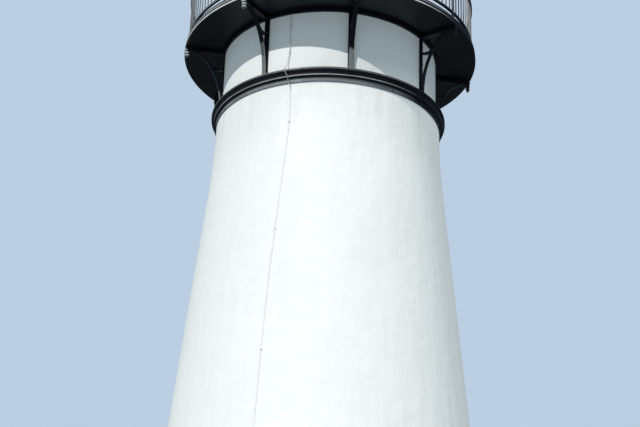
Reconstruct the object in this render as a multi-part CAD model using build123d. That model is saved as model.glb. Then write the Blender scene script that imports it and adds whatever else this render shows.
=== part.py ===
from build123d import *
import math
import os

# A white masonry lighthouse with a black iron gallery, in millimetres.
# The origin is the middle of the tower's foot, Z is up and the front faces -Y.
# Azimuths are degrees from the front, towards +X.
# Most pieces are drawn along +X, in radius and height, and then turned to their azimuth.

# Bays: one bracket, wall section, deck plate, rail panel and lantern side each
bay_count = 8
bay_angle = 360 / bay_count
half_bay = bay_angle / 2
quarter_turn = 90

# Clearances
seat = 0.3
casting_joint = 2.0

# Masonry shaft and watch room: a tapered shaft round a plain cylinder, and a straight watch room
base_radius = 3170.0
drum_radius = 1844.0
neck_step = 61.0
room_wall_thickness = 444.0
flare_tangent = 550.0
flare_steps = 4
belt_top_z = 13700.0
belt_height = 230.0
belt_cap = 60.0
room_height = 1190.0

# Belt moulding round the top of the shaft
belt_reach = 95.0
belt_slope = 16.0
belt_nose = 30.0
belt_soffit = 64.0
belt_soffit_reach = 47.0
belt_fillet = 20.0
belt_fillet_reach = 9.0
belt_hollow = 37.0
belt_lower_reach = 14.0
belt_arris = 4.0

# Gallery deck and its collar
deck_overhang = 696.0
deck_thickness = 110.0
floor_bearing = 200.0
rim_bead = 14.0
rim_bead_height = 33.0
rim_groove = 30.0
rim_upper_bead = 10.0
rim_upper_height = 30.0
rim_lip = 18.0
collar_height = 70.0
collar_depth = 40.0

# Gallery brackets
leg_width = 98.0
leg_depth = 14.0
strut_width = 76.0
strut_depth = 16.0
strut_foot_depth = 50.0
strut_foot_height = 98.0
beam_depth = 60.0
tie_thickness = 24.0
tie_drop = 310.0
tie_sag = 75.0
pendant_inset = 40.0
pendant_drop = 210.0
pendant_radius = 40.0
# From the tip up, in shares of the pendant's radius and of its drop
pendant_profile = [
    (0.3, 0.0), (0.6, 0.06), (0.35, 0.14), (0.9, 0.24), (0.9, 0.3), (0.42, 0.39),
    (0.95, 0.49), (0.95, 0.55), (0.45, 0.64), (0.95, 0.73), (0.95, 0.79), (0.6, 0.84), (1.0, 0.87),
]

# Gallery railing
rail_inset = 70.0
rail_height = 935.0
bottom_rail_gap = 127.0
bars_per_bay = 18
bar_size = 16.0
rail_width = 40.0
rail_thickness = 40.0
handrail_width = 50.0
handrail_thickness = 28.0
post_size = 34.0
post_foot_width = 74.0
post_foot_thickness = 16.0

# Lantern
lantern_apothem = 1500.0
post_face = 84.0
base_height = 950.0
base_thickness = 40.0
sill_height = 60.0
sill_projection = 45.0
glazing_height = 1750.0
head_height = 60.0
frame_depth = 60.0
glass_thickness = 10.0
astragal_size = 24.0
hatch_width = 620.0
hatch_height = 830.0
hatch_thickness = 30.0

# Lantern cornice, roof and ventilator
cornice_height = 190.0
cornice_projection = 130.0
cornice_band = 60.0
roof_rise = 950.0
roof_plate = 16.0
roof_eave = 60.0
crown_apothem = 170.0
crown_radius = 230.0
crown_thickness = 40.0
rib_width = 46.0
rib_depth = 24.0
vent_neck_radius = 130.0
vent_neck_height = 110.0
vent_ball_radius = 215.0
vent_cap_radius = 60.0
vent_cap_height = 40.0
spindle_radius = 13.0
spindle_height = 440.0
spindle_point = 52.0
spindle_tip_radius = 3.0
spindle_ball_radius = 32.0
ball_steps = 10

# Ground floor and entrance
floor_thickness = 150.0
door_opening_width = 1000.0
door_opening_height = 2300.0
door_setback = 300.0
door_frame_width = 90.0
door_frame_depth = 120.0
door_thickness = 50.0
door_gap = 3.0
door_panel_depth = 12.0
door_panel_margin = 110.0

# Windows: one in front, one behind
window_width = 640.0
window_height = 1150.0
window_setback = 160.0
window_frame_width = 60.0
window_frame_depth = 80.0
window_glass = 6.0
window_sill_height = 80.0
window_sill_projection = 45.0
front_window_z = 5000.0
back_window_z = 9300.0

# Lightning conductor. Its points are heights and azimuths, from the collar down to the ground:
# over the watch room above the belt's crest, over the belt above its foot, and down the shaft.
cable_radius = 6.0
cable_standoff = 22.0
cable_top_azimuth = -31.1
cable_room_route = [(384.0, -31.0), (134.0, -32.1)]
cable_belt_route = [(225.0, -32.0), (125.0, -30.3)]
cable_shaft_route = [
    (-85.0, -29.3), (-685.0, -29.0), (-1765.0, -30.6), (-3485.0, -32.8),
    (-5865.0, -33.2), (-8265.0, -33.0), (-10765.0, -33.2), (-13405.0, -33.0),
]
clip_width = 34.0
clip_height = 26.0
room_clips = [890.0, 384.0]
shaft_clips = [-685.0, -2600.0, -4600.0, -6600.0, -8600.0, -10600.0, -12600.0]

# Heights and radii that follow from the sizes above
floor_z = floor_thickness
inner_radius = drum_radius - room_wall_thickness
neck_radius = drum_radius + neck_step
belt_bottom_z = belt_top_z - belt_height
ledge_z = belt_top_z - belt_cap
belt_radius = neck_radius + belt_reach
belt_crest_z = belt_top_z + belt_slope
deck_underside_z = belt_top_z + room_height
deck_radius = drum_radius + deck_overhang
deck_inner_radius = inner_radius + floor_bearing
rail_radius = deck_radius - rail_inset
deck_z = deck_underside_z + deck_thickness
collar_z = deck_underside_z - collar_height
sill_z = deck_z + base_height
glazing_z = sill_z
head_z = glazing_z + glazing_height
cornice_z = head_z + head_height
roof_z = cornice_z + cornice_height
batter_angle = math.atan((base_radius - neck_radius) / (belt_bottom_z - flare_tangent))
flare_radius = flare_tangent / math.tan(batter_angle / 2)
eave_apothem = lantern_apothem + cornice_projection + roof_eave
roof_slope = roof_rise / (eave_apothem - crown_apothem)
drum_sides = [index * bay_angle for index in range(bay_count)]
hatch_azimuth = drum_sides[bay_count // 2]


def on_side(piece, azimuth):
    """Turn a piece drawn along +X to its azimuth."""
    return piece.rotate(Axis.Z, azimuth - 90)


def outline(*points):
    """A closed face in radius and height."""
    return Plane.XZ * make_face(Polyline(*points, close=True))


def ring(face, arc=360.0):
    """Revolve a radial face about the tower's axis, centred on +X."""
    return revolve(face, Axis.Z, arc).rotate(Axis.Z, -arc / 2)


def arc_angle(length, radius):
    """The angle that a length takes up on a circle."""
    return math.degrees(length / radius)


def bend(centre, across, up, first, last, steps=3):
    """Points along a quarter or half round of a moulding, between two angles."""
    angles = [math.radians(first + (last - first) * step / steps) for step in range(steps + 1)]
    return [(centre[0] + across * math.cos(angle), centre[1] + up * math.sin(angle)) for angle in angles]


def block(x_range, y_range, z_range):
    """A box between two limits on each axis."""
    sizes = [high - low for low, high in (x_range, y_range, z_range)]
    middles = [(high + low) / 2 for low, high in (x_range, y_range, z_range)]
    return Pos(*middles) * Box(*sizes)


def wall_line():
    """The shaft's outer line: its batter, easing upright below the belt."""
    centre = (neck_radius + flare_radius, belt_bottom_z)
    flare = bend(centre, flare_radius, flare_radius, 180 + math.degrees(batter_angle), 180, flare_steps)
    return [(base_radius, 0), *flare, (neck_radius, ledge_z)]


def wall_radius(height):
    """The outer face of the masonry at a height."""
    line = wall_line()
    for (low_radius, low_z), (high_radius, high_z) in zip(line, line[1:]):
        if height <= high_z:
            return low_radius + (high_radius - low_radius) * (height - low_z) / (high_z - low_z)
    return drum_radius


def mitre(gap):
    """A wedge as wide as one bay, less half the gap at each side."""
    half = math.radians(half_bay)
    reach = 2 * deck_radius
    apex = gap / 2 / math.sin(half)
    edge = reach * math.tan(half) - gap / 2 / math.cos(half)
    return extrude(make_face(Polyline((apex, 0), (reach, -edge), (reach, edge), close=True)), 2 * deck_z)


def flat_side(face, gap=casting_joint):
    """Run a radial face along one side of the lantern, with mitred ends."""
    return extrude(face, deck_radius, both=True) & mitre(gap)


def save(name, piece):
    """Write one node's solids."""
    export_step(piece, os.path.join("parts", name + ".step"))


def wall_section():
    """One bay of the masonry, from the ground to the deck."""
    face = outline(
        *wall_line(), (drum_radius, ledge_z), (drum_radius, deck_underside_z - seat),
        (inner_radius, deck_underside_z - seat), (inner_radius, 0))
    return ring(face, bay_angle)


def wall_opening(width, low, high):
    """The cut for a door or window, through the wall along +X."""
    return block((0, 2 * base_radius), (-width / 2, width / 2), (low, high))


def make_walls():
    names = ["front", "front_right", "right", "back_right", "back", "back_left", "left", "front_left"]
    cuts = {
        "front": [
            wall_opening(door_opening_width, -floor_z, door_opening_height),
            wall_opening(window_width, front_window_z, front_window_z + window_height),
        ],
        "back": [wall_opening(window_width, back_window_z, back_window_z + window_height)],
    }
    section = wall_section()
    for name, azimuth in zip(names, drum_sides):
        wall = section
        for cut in cuts.get(name, []):
            wall = wall - cut
        save("shaft_wall_" + name, on_side(wall, azimuth))


def make_belt():
    """The black moulding between the shaft and the watch room, in eight castings."""
    inner = neck_radius + seat
    cap_inner = drum_radius + seat
    lower = neck_radius + belt_lower_reach
    soffit = neck_radius + belt_soffit_reach
    nose_z = belt_top_z - belt_nose
    soffit_z = nose_z - belt_soffit
    fillet = soffit + belt_fillet_reach
    fillet_z = soffit_z - belt_fillet
    hollow_z = fillet_z - belt_hollow
    nose = bend((belt_radius - belt_nose, nose_z), belt_nose, belt_nose, 90, 0)
    under = bend((belt_radius, soffit_z), belt_radius - soffit, belt_soffit, 90, 180)
    hollow = bend((soffit, hollow_z), soffit - lower, belt_hollow, 90, 180)
    face = outline(
        (cap_inner, belt_crest_z), (neck_radius, belt_crest_z), *nose, *under[1:],
        (fillet, soffit_z), (fillet, fillet_z), *hollow,
        (lower, belt_bottom_z + belt_arris), (lower - belt_arris, belt_bottom_z), (inner, belt_bottom_z),
        (inner, ledge_z + seat), (cap_inner, ledge_z + seat))
    casting = ring(face, bay_angle - arc_angle(casting_joint, neck_radius))
    save("belt_course", Compound(children=[on_side(casting, azimuth) for azimuth in drum_sides]))


def make_deck():
    """Eight deck plates with a moulded rim, the collar below and the lantern floor."""
    edge = deck_radius - rim_bead
    inner = deck_inner_radius + casting_joint
    bead = bend((edge, deck_underside_z + rim_bead_height / 2), rim_bead, rim_bead_height / 2, -90, 90)
    upper_z = deck_underside_z + rim_bead_height + rim_groove + rim_upper_height / 2
    upper_bead = bend((edge, upper_z), rim_upper_bead, rim_upper_height / 2, -90, 90)
    lip_z = deck_z + rim_lip
    rim = outline(
        (inner, deck_underside_z), *bead, *upper_bead, (edge, lip_z), (edge - rim_lip, lip_z),
        (edge - rim_lip, deck_z), (inner, deck_z))
    arc = bay_angle - arc_angle(casting_joint, deck_inner_radius)
    plate = ring(rim, arc)
    save("gallery_deck", Compound(children=[on_side(plate, azimuth) for azimuth in drum_sides]))
    floor = Pos(0, 0, deck_underside_z) * Cylinder(
        deck_inner_radius, deck_thickness, align=(Align.CENTER, Align.CENTER, Align.MIN))
    save("lantern_floor", floor)
    collar = ring(collar_face(0), arc)
    middles = [azimuth + half_bay for azimuth in drum_sides]
    save("deck_collar", Compound(children=[on_side(collar, azimuth) for azimuth in middles]))


def collar_face(gap):
    """The iron collar round the top of the watch room, grown by a gap."""
    low, high = collar_z - gap, deck_underside_z - seat
    near, far = drum_radius + seat, drum_radius + collar_depth + gap
    return outline((near, low), (far, low), (far, high), (near, high))


def turned(axis_radius, *points):
    """A turned piece on a vertical axis, from radius and height pairs."""
    face = Plane.XZ * make_face(Polyline((0, points[0][1]), *points, (0, points[-1][1]), close=True))
    return Pos(axis_radius, 0, 0) * revolve(face, Axis.Z)


def bracket():
    """Leg, curved strut, tie, beam and turned pendant, in one casting along +X."""
    inner = drum_radius + seat
    foot_z = belt_crest_z + seat
    top_z = deck_underside_z - seat
    spring_z = foot_z + strut_foot_height
    strut_reach = deck_overhang - strut_foot_depth
    strut_rise = top_z - beam_depth / 2 - strut_depth - spring_z
    centre = (deck_radius, spring_z)
    lower = EllipticalCenterArc(
        centre, strut_reach, strut_rise, start_angle=quarter_turn, arc_size=quarter_turn)
    upper = EllipticalCenterArc(
        centre, strut_reach + strut_depth, strut_rise + strut_depth, start_angle=quarter_turn,
        arc_size=quarter_turn)
    strut_face = make_face([lower, upper, Line(lower @ 0, upper @ 0), Line(lower @ 1, upper @ 1)])
    beam_end = deck_radius - pendant_inset
    foot = outline(
        (inner, foot_z), (deck_radius - strut_reach, foot_z), (deck_radius - strut_reach, spring_z),
        (inner, spring_z))
    leg = outline((inner, foot_z), (inner + leg_depth, foot_z), (inner + leg_depth, top_z), (inner, top_z))
    beam = outline(
        (inner, top_z - beam_depth), (beam_end, top_z - beam_depth), (beam_end, top_z), (inner, top_z))
    tie_z = deck_underside_z - tie_drop
    tie_sine = (tie_z - spring_z) / (strut_rise + strut_depth / 2)
    tie_end = deck_radius - (strut_reach + strut_depth / 2) * math.sqrt(1 - tie_sine ** 2)
    tie_start = inner + leg_depth / 2
    tie_middle = (tie_start + tie_end) / 2
    tie_low = ThreePointArc((tie_start, tie_z), (tie_middle, tie_z - tie_sag), (tie_end, tie_z))
    tie_high = ThreePointArc(
        (tie_start, tie_z + tie_thickness), (tie_middle, tie_z - tie_sag + tie_thickness),
        (tie_end, tie_z + tie_thickness))
    tie_face = make_face([
        tie_low, tie_high, Line(tie_low @ 0, tie_high @ 0), Line(tie_low @ 1, tie_high @ 1)])
    bulbs = [(across * pendant_radius, top_z - (1 - up) * pendant_drop) for across, up in pendant_profile]
    pendant = turned(beam_end, *bulbs, (bulbs[-1][0], top_z))
    castings = [
        extrude(leg, leg_width / 2, both=True),
        extrude(foot, strut_width / 2, both=True),
        extrude(beam, strut_width / 2, both=True),
        extrude(Plane.XZ * strut_face, strut_width / 2, both=True),
        extrude(Plane.XZ * tie_face, strut_width / 2, both=True),
        pendant,
    ]
    whole = castings[0]
    for casting in castings[1:]:
        whole = whole + casting
    return whole - ring(collar_face(seat))


def make_brackets():
    piece = bracket()
    for index, azimuth in enumerate(drum_sides):
        save("gallery_bracket_%d" % (index + 1), on_side(piece, azimuth))


def rail_arc(low, thickness, width):
    """A curved rail between two posts, centred on +X."""
    near, far = rail_radius - width / 2, rail_radius + width / 2
    face = outline((near, low), (far, low), (far, low + thickness), (near, low + thickness))
    return ring(face, bay_angle - arc_angle(post_size / 2 + casting_joint, rail_radius))


def standard(width, low, high):
    """A square bar, post or foot on the line of the railing."""
    return block((rail_radius - width / 2, rail_radius + width / 2), (-width / 2, width / 2), (low, high))


def rail_panel():
    """One bay of railing: two rails, its bars and the post at its first end."""
    bottom_z = deck_z + bottom_rail_gap
    top_z = deck_z + rail_height - handrail_thickness
    shift = arc_angle(post_size / 2 + casting_joint, rail_radius) / 2
    rails = rail_arc(bottom_z, rail_thickness, rail_width) + rail_arc(top_z, handrail_thickness, handrail_width)
    panel = rails.rotate(Axis.Z, -shift)
    bar = standard(bar_size, bottom_z + rail_thickness / 2, top_z + handrail_thickness / 2)
    for index in range(1, bars_per_bay):
        panel = panel + bar.rotate(Axis.Z, index * bay_angle / bars_per_bay - half_bay)
    post = standard(post_size, deck_z + seat, deck_z + rail_height)
    foot = standard(post_foot_width, deck_z + seat, deck_z + post_foot_thickness)
    return panel + (post + foot).rotate(Axis.Z, -half_bay)


def make_railing():
    panel = rail_panel()
    for index, azimuth in enumerate(drum_sides):
        save("railing_panel_%d" % (index + 1), on_side(panel, azimuth + half_bay))


def make_lantern():
    middles = [azimuth + half_bay for azimuth in drum_sides]
    corner = lantern_apothem / math.cos(math.radians(half_bay))
    clear_gap = post_face + 2 * seat
    low = deck_z + seat

    post = block((corner - post_face, corner), (-post_face / 2, post_face / 2), (low, cornice_z - seat))
    save("lantern_posts", Compound(children=[on_side(post, azimuth) for azimuth in middles]))

    near = lantern_apothem - base_thickness
    panel = flat_side(
        outline((near, low), (lantern_apothem, low), (lantern_apothem, sill_z - sill_height - seat),
                (near, sill_z - sill_height - seat)), clear_gap)
    hatch_half = hatch_width / 2
    doorway = block((0, deck_radius), (-hatch_half, hatch_half), (0, deck_z + hatch_height))
    panels = [panel - doorway if azimuth == hatch_azimuth else panel for azimuth in drum_sides]
    save("lantern_base_panels", Compound(children=[
        on_side(piece, azimuth) for piece, azimuth in zip(panels, drum_sides)]))

    leaf_far = lantern_apothem - (base_thickness - hatch_thickness) / 2
    leaf = block(
        (leaf_far - hatch_thickness, leaf_far), (-hatch_half + door_gap, hatch_half - door_gap),
        (low, deck_z + hatch_height - door_gap))
    save("lantern_hatch", on_side(leaf, hatch_azimuth))

    frame_near = lantern_apothem - frame_depth
    sill = flat_side(
        outline((frame_near, sill_z - sill_height), (lantern_apothem + sill_projection, sill_z - sill_height),
                (lantern_apothem + sill_projection, sill_z - sill_height / 2), (lantern_apothem, sill_z),
                (frame_near, sill_z)), clear_gap)
    save("lantern_sills", Compound(children=[on_side(sill, azimuth) for azimuth in drum_sides]))

    head = flat_side(
        outline((frame_near, head_z), (lantern_apothem, head_z), (lantern_apothem, cornice_z - seat),
                (frame_near, cornice_z - seat)), clear_gap)
    save("lantern_heads", Compound(children=[on_side(head, azimuth) for azimuth in drum_sides]))

    glass_far = lantern_apothem - frame_depth / 2
    glass = flat_side(
        outline((glass_far - glass_thickness, glazing_z + seat), (glass_far, glazing_z + seat),
                (glass_far, head_z - seat), (glass_far - glass_thickness, head_z - seat)), clear_gap)
    save("lantern_glass", Compound(children=[on_side(glass, azimuth) for azimuth in drum_sides]))

    bar_near = glass_far + seat
    bar_far = bar_near + astragal_size
    upright = block(
        (bar_near, bar_far), (-astragal_size / 2, astragal_size / 2),
        (glazing_z + seat, head_z - seat))
    lattice = upright
    for share in (1 / 3, 2 / 3):
        height = glazing_z + glazing_height * share
        low_z, high_z = height - astragal_size / 2, height + astragal_size / 2
        lattice = lattice + flat_side(
            outline((bar_near, low_z), (bar_far, low_z), (bar_far, high_z), (bar_near, high_z)), clear_gap)
    save("lantern_astragals", Compound(children=[on_side(lattice, azimuth) for azimuth in drum_sides]))


def ball_profile(radius, foot_radius, head_radius, foot_z, steps):
    """A ball's outline, from the neck that it stands on to the neck on top of it."""
    foot_angle = math.acos(foot_radius / radius)
    head_angle = math.acos(head_radius / radius)
    centre = (0, foot_z + radius * math.sin(foot_angle))
    return bend(centre, radius, radius, -math.degrees(foot_angle), math.degrees(head_angle), steps)


def make_roof():
    """Cornice, hipped roof, ball ventilator and lightning spindle."""
    middles = [azimuth + half_bay for azimuth in drum_sides]
    outer = lantern_apothem + cornice_projection
    near = lantern_apothem - post_face
    cornice = flat_side(outline(
        (near, cornice_z), (lantern_apothem + seat, cornice_z),
        (lantern_apothem + seat, cornice_z + cornice_band), (outer, cornice_z + 2 * cornice_band),
        (outer, roof_z), (near, roof_z + (outer - near) * roof_slope)))
    save("lantern_cornice", Compound(children=[on_side(cornice, azimuth) for azimuth in drum_sides]))

    low = roof_z + seat - roof_eave * roof_slope
    top = low + roof_rise
    plate = flat_side(outline(
        (eave_apothem, low), (crown_apothem, top), (crown_apothem, top + roof_plate),
        (eave_apothem, low + roof_plate)))
    save("lantern_roof", Compound(children=[on_side(plate, azimuth) for azimuth in drum_sides]))

    stretch = 1 / math.cos(math.radians(half_bay))
    rib_foot = eave_apothem * stretch
    rib_head = crown_radius + seat
    rise_at_head = (rib_foot - rib_head) / stretch * roof_slope
    rib_low = low + roof_plate + seat
    rib_face = outline(
        (rib_foot, rib_low), (rib_head, rib_low + rise_at_head), (rib_head, rib_low + rise_at_head + rib_depth),
        (rib_foot, rib_low + rib_depth))
    rib = extrude(rib_face, rib_width / 2, both=True)
    save("roof_ribs", Compound(children=[on_side(rib, azimuth) for azimuth in middles]))

    foot_z = top + roof_plate + seat
    neck_z = foot_z + crown_thickness
    ball_z = neck_z + vent_neck_height
    ball = ball_profile(vent_ball_radius, vent_neck_radius, vent_cap_radius, ball_z, ball_steps)
    cap_top = ball[-1][1] + vent_cap_height
    save("roof_ventilator", turned(
        0, (crown_radius, foot_z), (crown_radius, neck_z), (vent_neck_radius, neck_z), *ball,
        (vent_cap_radius, cap_top)))

    rod_z = cap_top + seat
    knop = ball_profile(
        spindle_ball_radius, spindle_radius, spindle_radius, rod_z + spindle_height / 2, ball_steps // 2)
    rod_top = rod_z + spindle_height
    save("lightning_spindle", turned(
        0, (spindle_radius, rod_z), *knop, (spindle_radius, rod_top),
        (spindle_tip_radius, rod_top + spindle_point)))


def make_entrance():
    """Ground floor, threshold, door frame and door."""
    low_middle = (Align.CENTER, Align.CENTER, Align.MIN)
    save("ground_floor", Cylinder(inner_radius - seat, floor_z, align=low_middle))

    half = door_opening_width / 2 - seat
    slab = block((0, wall_radius(floor_z)), (-half, half), (0, floor_z))
    save("door_threshold", on_side(slab - Cylinder(inner_radius + seat, floor_z, align=low_middle), 0))

    low = floor_z + seat
    high = door_opening_height - seat
    outer = wall_radius(door_opening_height) - door_setback
    outline_block = block((outer - door_frame_depth, outer), (-half, half), (low, high))
    clear_half = half - door_frame_width
    clear = block((0, base_radius), (-clear_half, clear_half), (0, high - door_frame_width))
    save("door_frame", on_side(outline_block - clear, 0))

    leaf_half = clear_half - door_gap
    leaf_far = outer - (door_frame_depth - door_thickness) / 2
    leaf_top = high - door_frame_width - door_gap
    leaf = block((leaf_far - door_thickness, leaf_far), (-leaf_half, leaf_half), (low, leaf_top))
    middle = (low + leaf_top) / 2
    panel_half = leaf_half - door_panel_margin
    for bottom, top in ((low + door_panel_margin, middle - door_panel_margin / 2),
                        (middle + door_panel_margin / 2, leaf_top - door_panel_margin)):
        recess = block((leaf_far - door_panel_depth, base_radius), (-panel_half, panel_half), (bottom, top))
        leaf = leaf - recess
    save("entrance_door", on_side(leaf, 0))


def window_parts(low, azimuth):
    """The sill, frame and glass of one window."""
    half = window_width / 2 - seat
    high = low + window_height - seat
    face = wall_radius(low + window_height)
    far = face - window_setback
    sill_top = low + window_sill_height
    sill_far = wall_radius(low) + window_sill_projection
    sill = block((far - window_frame_depth, sill_far), (-half, half), (low + seat, sill_top))
    frame = block((far - window_frame_depth, far), (-half, half), (sill_top + seat, high))
    clear_half = half - window_frame_width
    clear_low = sill_top + seat + window_frame_width
    clear_high = high - window_frame_width
    frame = frame - block((0, base_radius), (-clear_half, clear_half), (clear_low, clear_high))
    glass_far = far - (window_frame_depth - window_glass) / 2
    glass = block(
        (glass_far - window_glass, glass_far), (-clear_half + seat, clear_half - seat),
        (clear_low + seat, clear_high - seat))
    return [on_side(piece, azimuth) for piece in (sill, frame, glass)]


def make_windows():
    front = window_parts(front_window_z, 0)
    back = window_parts(back_window_z, 180)
    for name, pair in zip(("window_sills", "window_frames", "window_glass"), zip(front, back)):
        save(name, Compound(children=list(pair)))


def around(radius, azimuth, height):
    """A point at a radius, azimuth and height."""
    turn = math.radians(azimuth)
    return Vector(radius * math.sin(turn), -radius * math.cos(turn), height)


def cable_points():
    """The conductor's route, off the wall and the belt by its stand-off."""
    top_z = collar_z - seat
    points = [around(drum_radius + cable_standoff, cable_top_azimuth, top_z)]
    for rise, azimuth in cable_room_route:
        points.append(around(drum_radius + cable_standoff, azimuth, belt_crest_z + rise))
    for rise, azimuth in cable_belt_route:
        points.append(around(belt_radius + cable_standoff, azimuth, belt_bottom_z + rise))
    for rise, azimuth in cable_shaft_route:
        height = belt_bottom_z + rise
        points.append(around(wall_radius(height) + cable_standoff, azimuth, height))
    return points


def cable_at(path, height):
    """The point of the conductor at a height."""
    low, high = 0.0, 1.0
    while high - low > 1e-6:
        middle = (low + high) / 2
        if (path @ middle).Z > height:
            low = middle
        else:
            high = middle
    return path @ low


def cable_clip(path, height):
    """A stand-off block between the wall and the conductor."""
    bottom, top = height - clip_height / 2, height + clip_height / 2
    far = min(math.hypot(point.X, point.Y) for point in (cable_at(path, bottom), cable_at(path, top)))
    here = cable_at(path, height)
    near = wall_radius(bottom) + seat
    piece = block((near, far - cable_radius - seat), (-clip_width / 2, clip_width / 2), (bottom, top))
    return on_side(piece, math.degrees(math.atan2(here.X, -here.Y)))


def make_conductor():
    """The lightning conductor and its stand-off clips."""
    points = cable_points()
    radii = []
    for before, here, after in zip(points, points[1:], points[2:]):
        turn = math.radians((here - before).get_angle(after - here))
        shorter = min((here - before).length, (after - here).length)
        radii.append(0.45 * shorter / math.tan(turn / 2))
    print("conductor bend radii", [round(radius) for radius in radii])
    path = FilletPolyline(*points, radius=radii)
    start = Plane(points[0], z_dir=path % 0)
    cable = sweep(start * Circle(cable_radius), path=path)
    print("conductor length", round(path.length), "volume share",
          round(cable.volume / path.length / math.pi / cable_radius ** 2, 4))
    save("conductor_cable", cable)
    heights = [belt_crest_z + rise for rise in room_clips] + [belt_bottom_z + rise for rise in shaft_clips]
    save("conductor_clips", Compound(children=[cable_clip(path, height) for height in heights]))


os.makedirs("parts", exist_ok=True)
make_walls()
make_belt()
make_deck()
make_brackets()
make_railing()
make_lantern()
make_roof()
make_entrance()
make_windows()
make_conductor()
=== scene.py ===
import math

import bmesh
import bpy
from mathutils import Matrix, Vector, noise


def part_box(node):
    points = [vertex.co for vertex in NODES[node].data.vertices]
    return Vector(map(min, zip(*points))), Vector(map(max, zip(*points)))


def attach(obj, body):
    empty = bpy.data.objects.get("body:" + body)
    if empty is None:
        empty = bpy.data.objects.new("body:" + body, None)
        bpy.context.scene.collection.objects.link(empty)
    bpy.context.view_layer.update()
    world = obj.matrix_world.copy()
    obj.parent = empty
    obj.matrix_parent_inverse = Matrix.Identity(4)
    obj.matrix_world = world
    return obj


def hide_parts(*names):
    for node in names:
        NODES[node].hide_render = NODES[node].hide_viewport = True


bl_info = {
    "name": "Lighthouse finish",
    "version": (1, 0, 0),
    "blender": (4, 5, 0),
    "location": "3D View > Sidebar > Lighthouse",
    "description": "Dresses the lighthouse's construction model with finished pieces and materials",
    "category": "Object",
}

# Metres throughout. The tower's axis is Z, its foot is at the origin and its front faces -Y.
# Azimuths are degrees from the front, towards +X. Pieces are drawn along +X and turned to place.
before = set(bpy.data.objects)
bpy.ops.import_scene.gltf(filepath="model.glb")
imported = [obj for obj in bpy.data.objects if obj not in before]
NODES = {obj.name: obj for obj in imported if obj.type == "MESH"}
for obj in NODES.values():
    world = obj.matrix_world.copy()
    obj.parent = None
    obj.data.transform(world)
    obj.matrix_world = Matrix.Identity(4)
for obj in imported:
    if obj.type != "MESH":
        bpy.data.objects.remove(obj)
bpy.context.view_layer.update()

BAY_COUNT = 8
BAY_ANGLE = 360 / BAY_COUNT
BACK = 180
ROUND_STEPS = 288
SEAT = 0.0003
CASTING_GAP = 0.002
BELT_CROWN = 0.016
BOLT_SINK = 0.001
PENDANT_TIP = 0.145
PENDANT_BULB = 0.245


def foot_of(node):
    """The height of a construction node's foot."""
    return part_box(node)[0].z


def top_of(node):
    """The height of a construction node's top."""
    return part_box(node)[1].z


def property_kind(make, **fixed):
    """A kind of property, which takes a default and a description now and its name later."""
    def given(default, description):
        return lambda name: make(name=name, description=description, default=default, **fixed)
    return given


def named_by_key(group):
    """Names each property of a group after its key."""
    group.__annotations__ = {key: make(key.replace("_", " ").capitalize())
                             for key, make in group.__annotations__.items()}
    return group


length = property_kind(bpy.props.FloatProperty, min=0.0, unit="LENGTH")
colour = property_kind(bpy.props.FloatVectorProperty, size=3, min=0.0, max=1.0, subtype="COLOR")
strength = property_kind(bpy.props.FloatProperty, min=0.0)
angle = property_kind(bpy.props.FloatProperty, subtype="ANGLE", unit="ROTATION")


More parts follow.
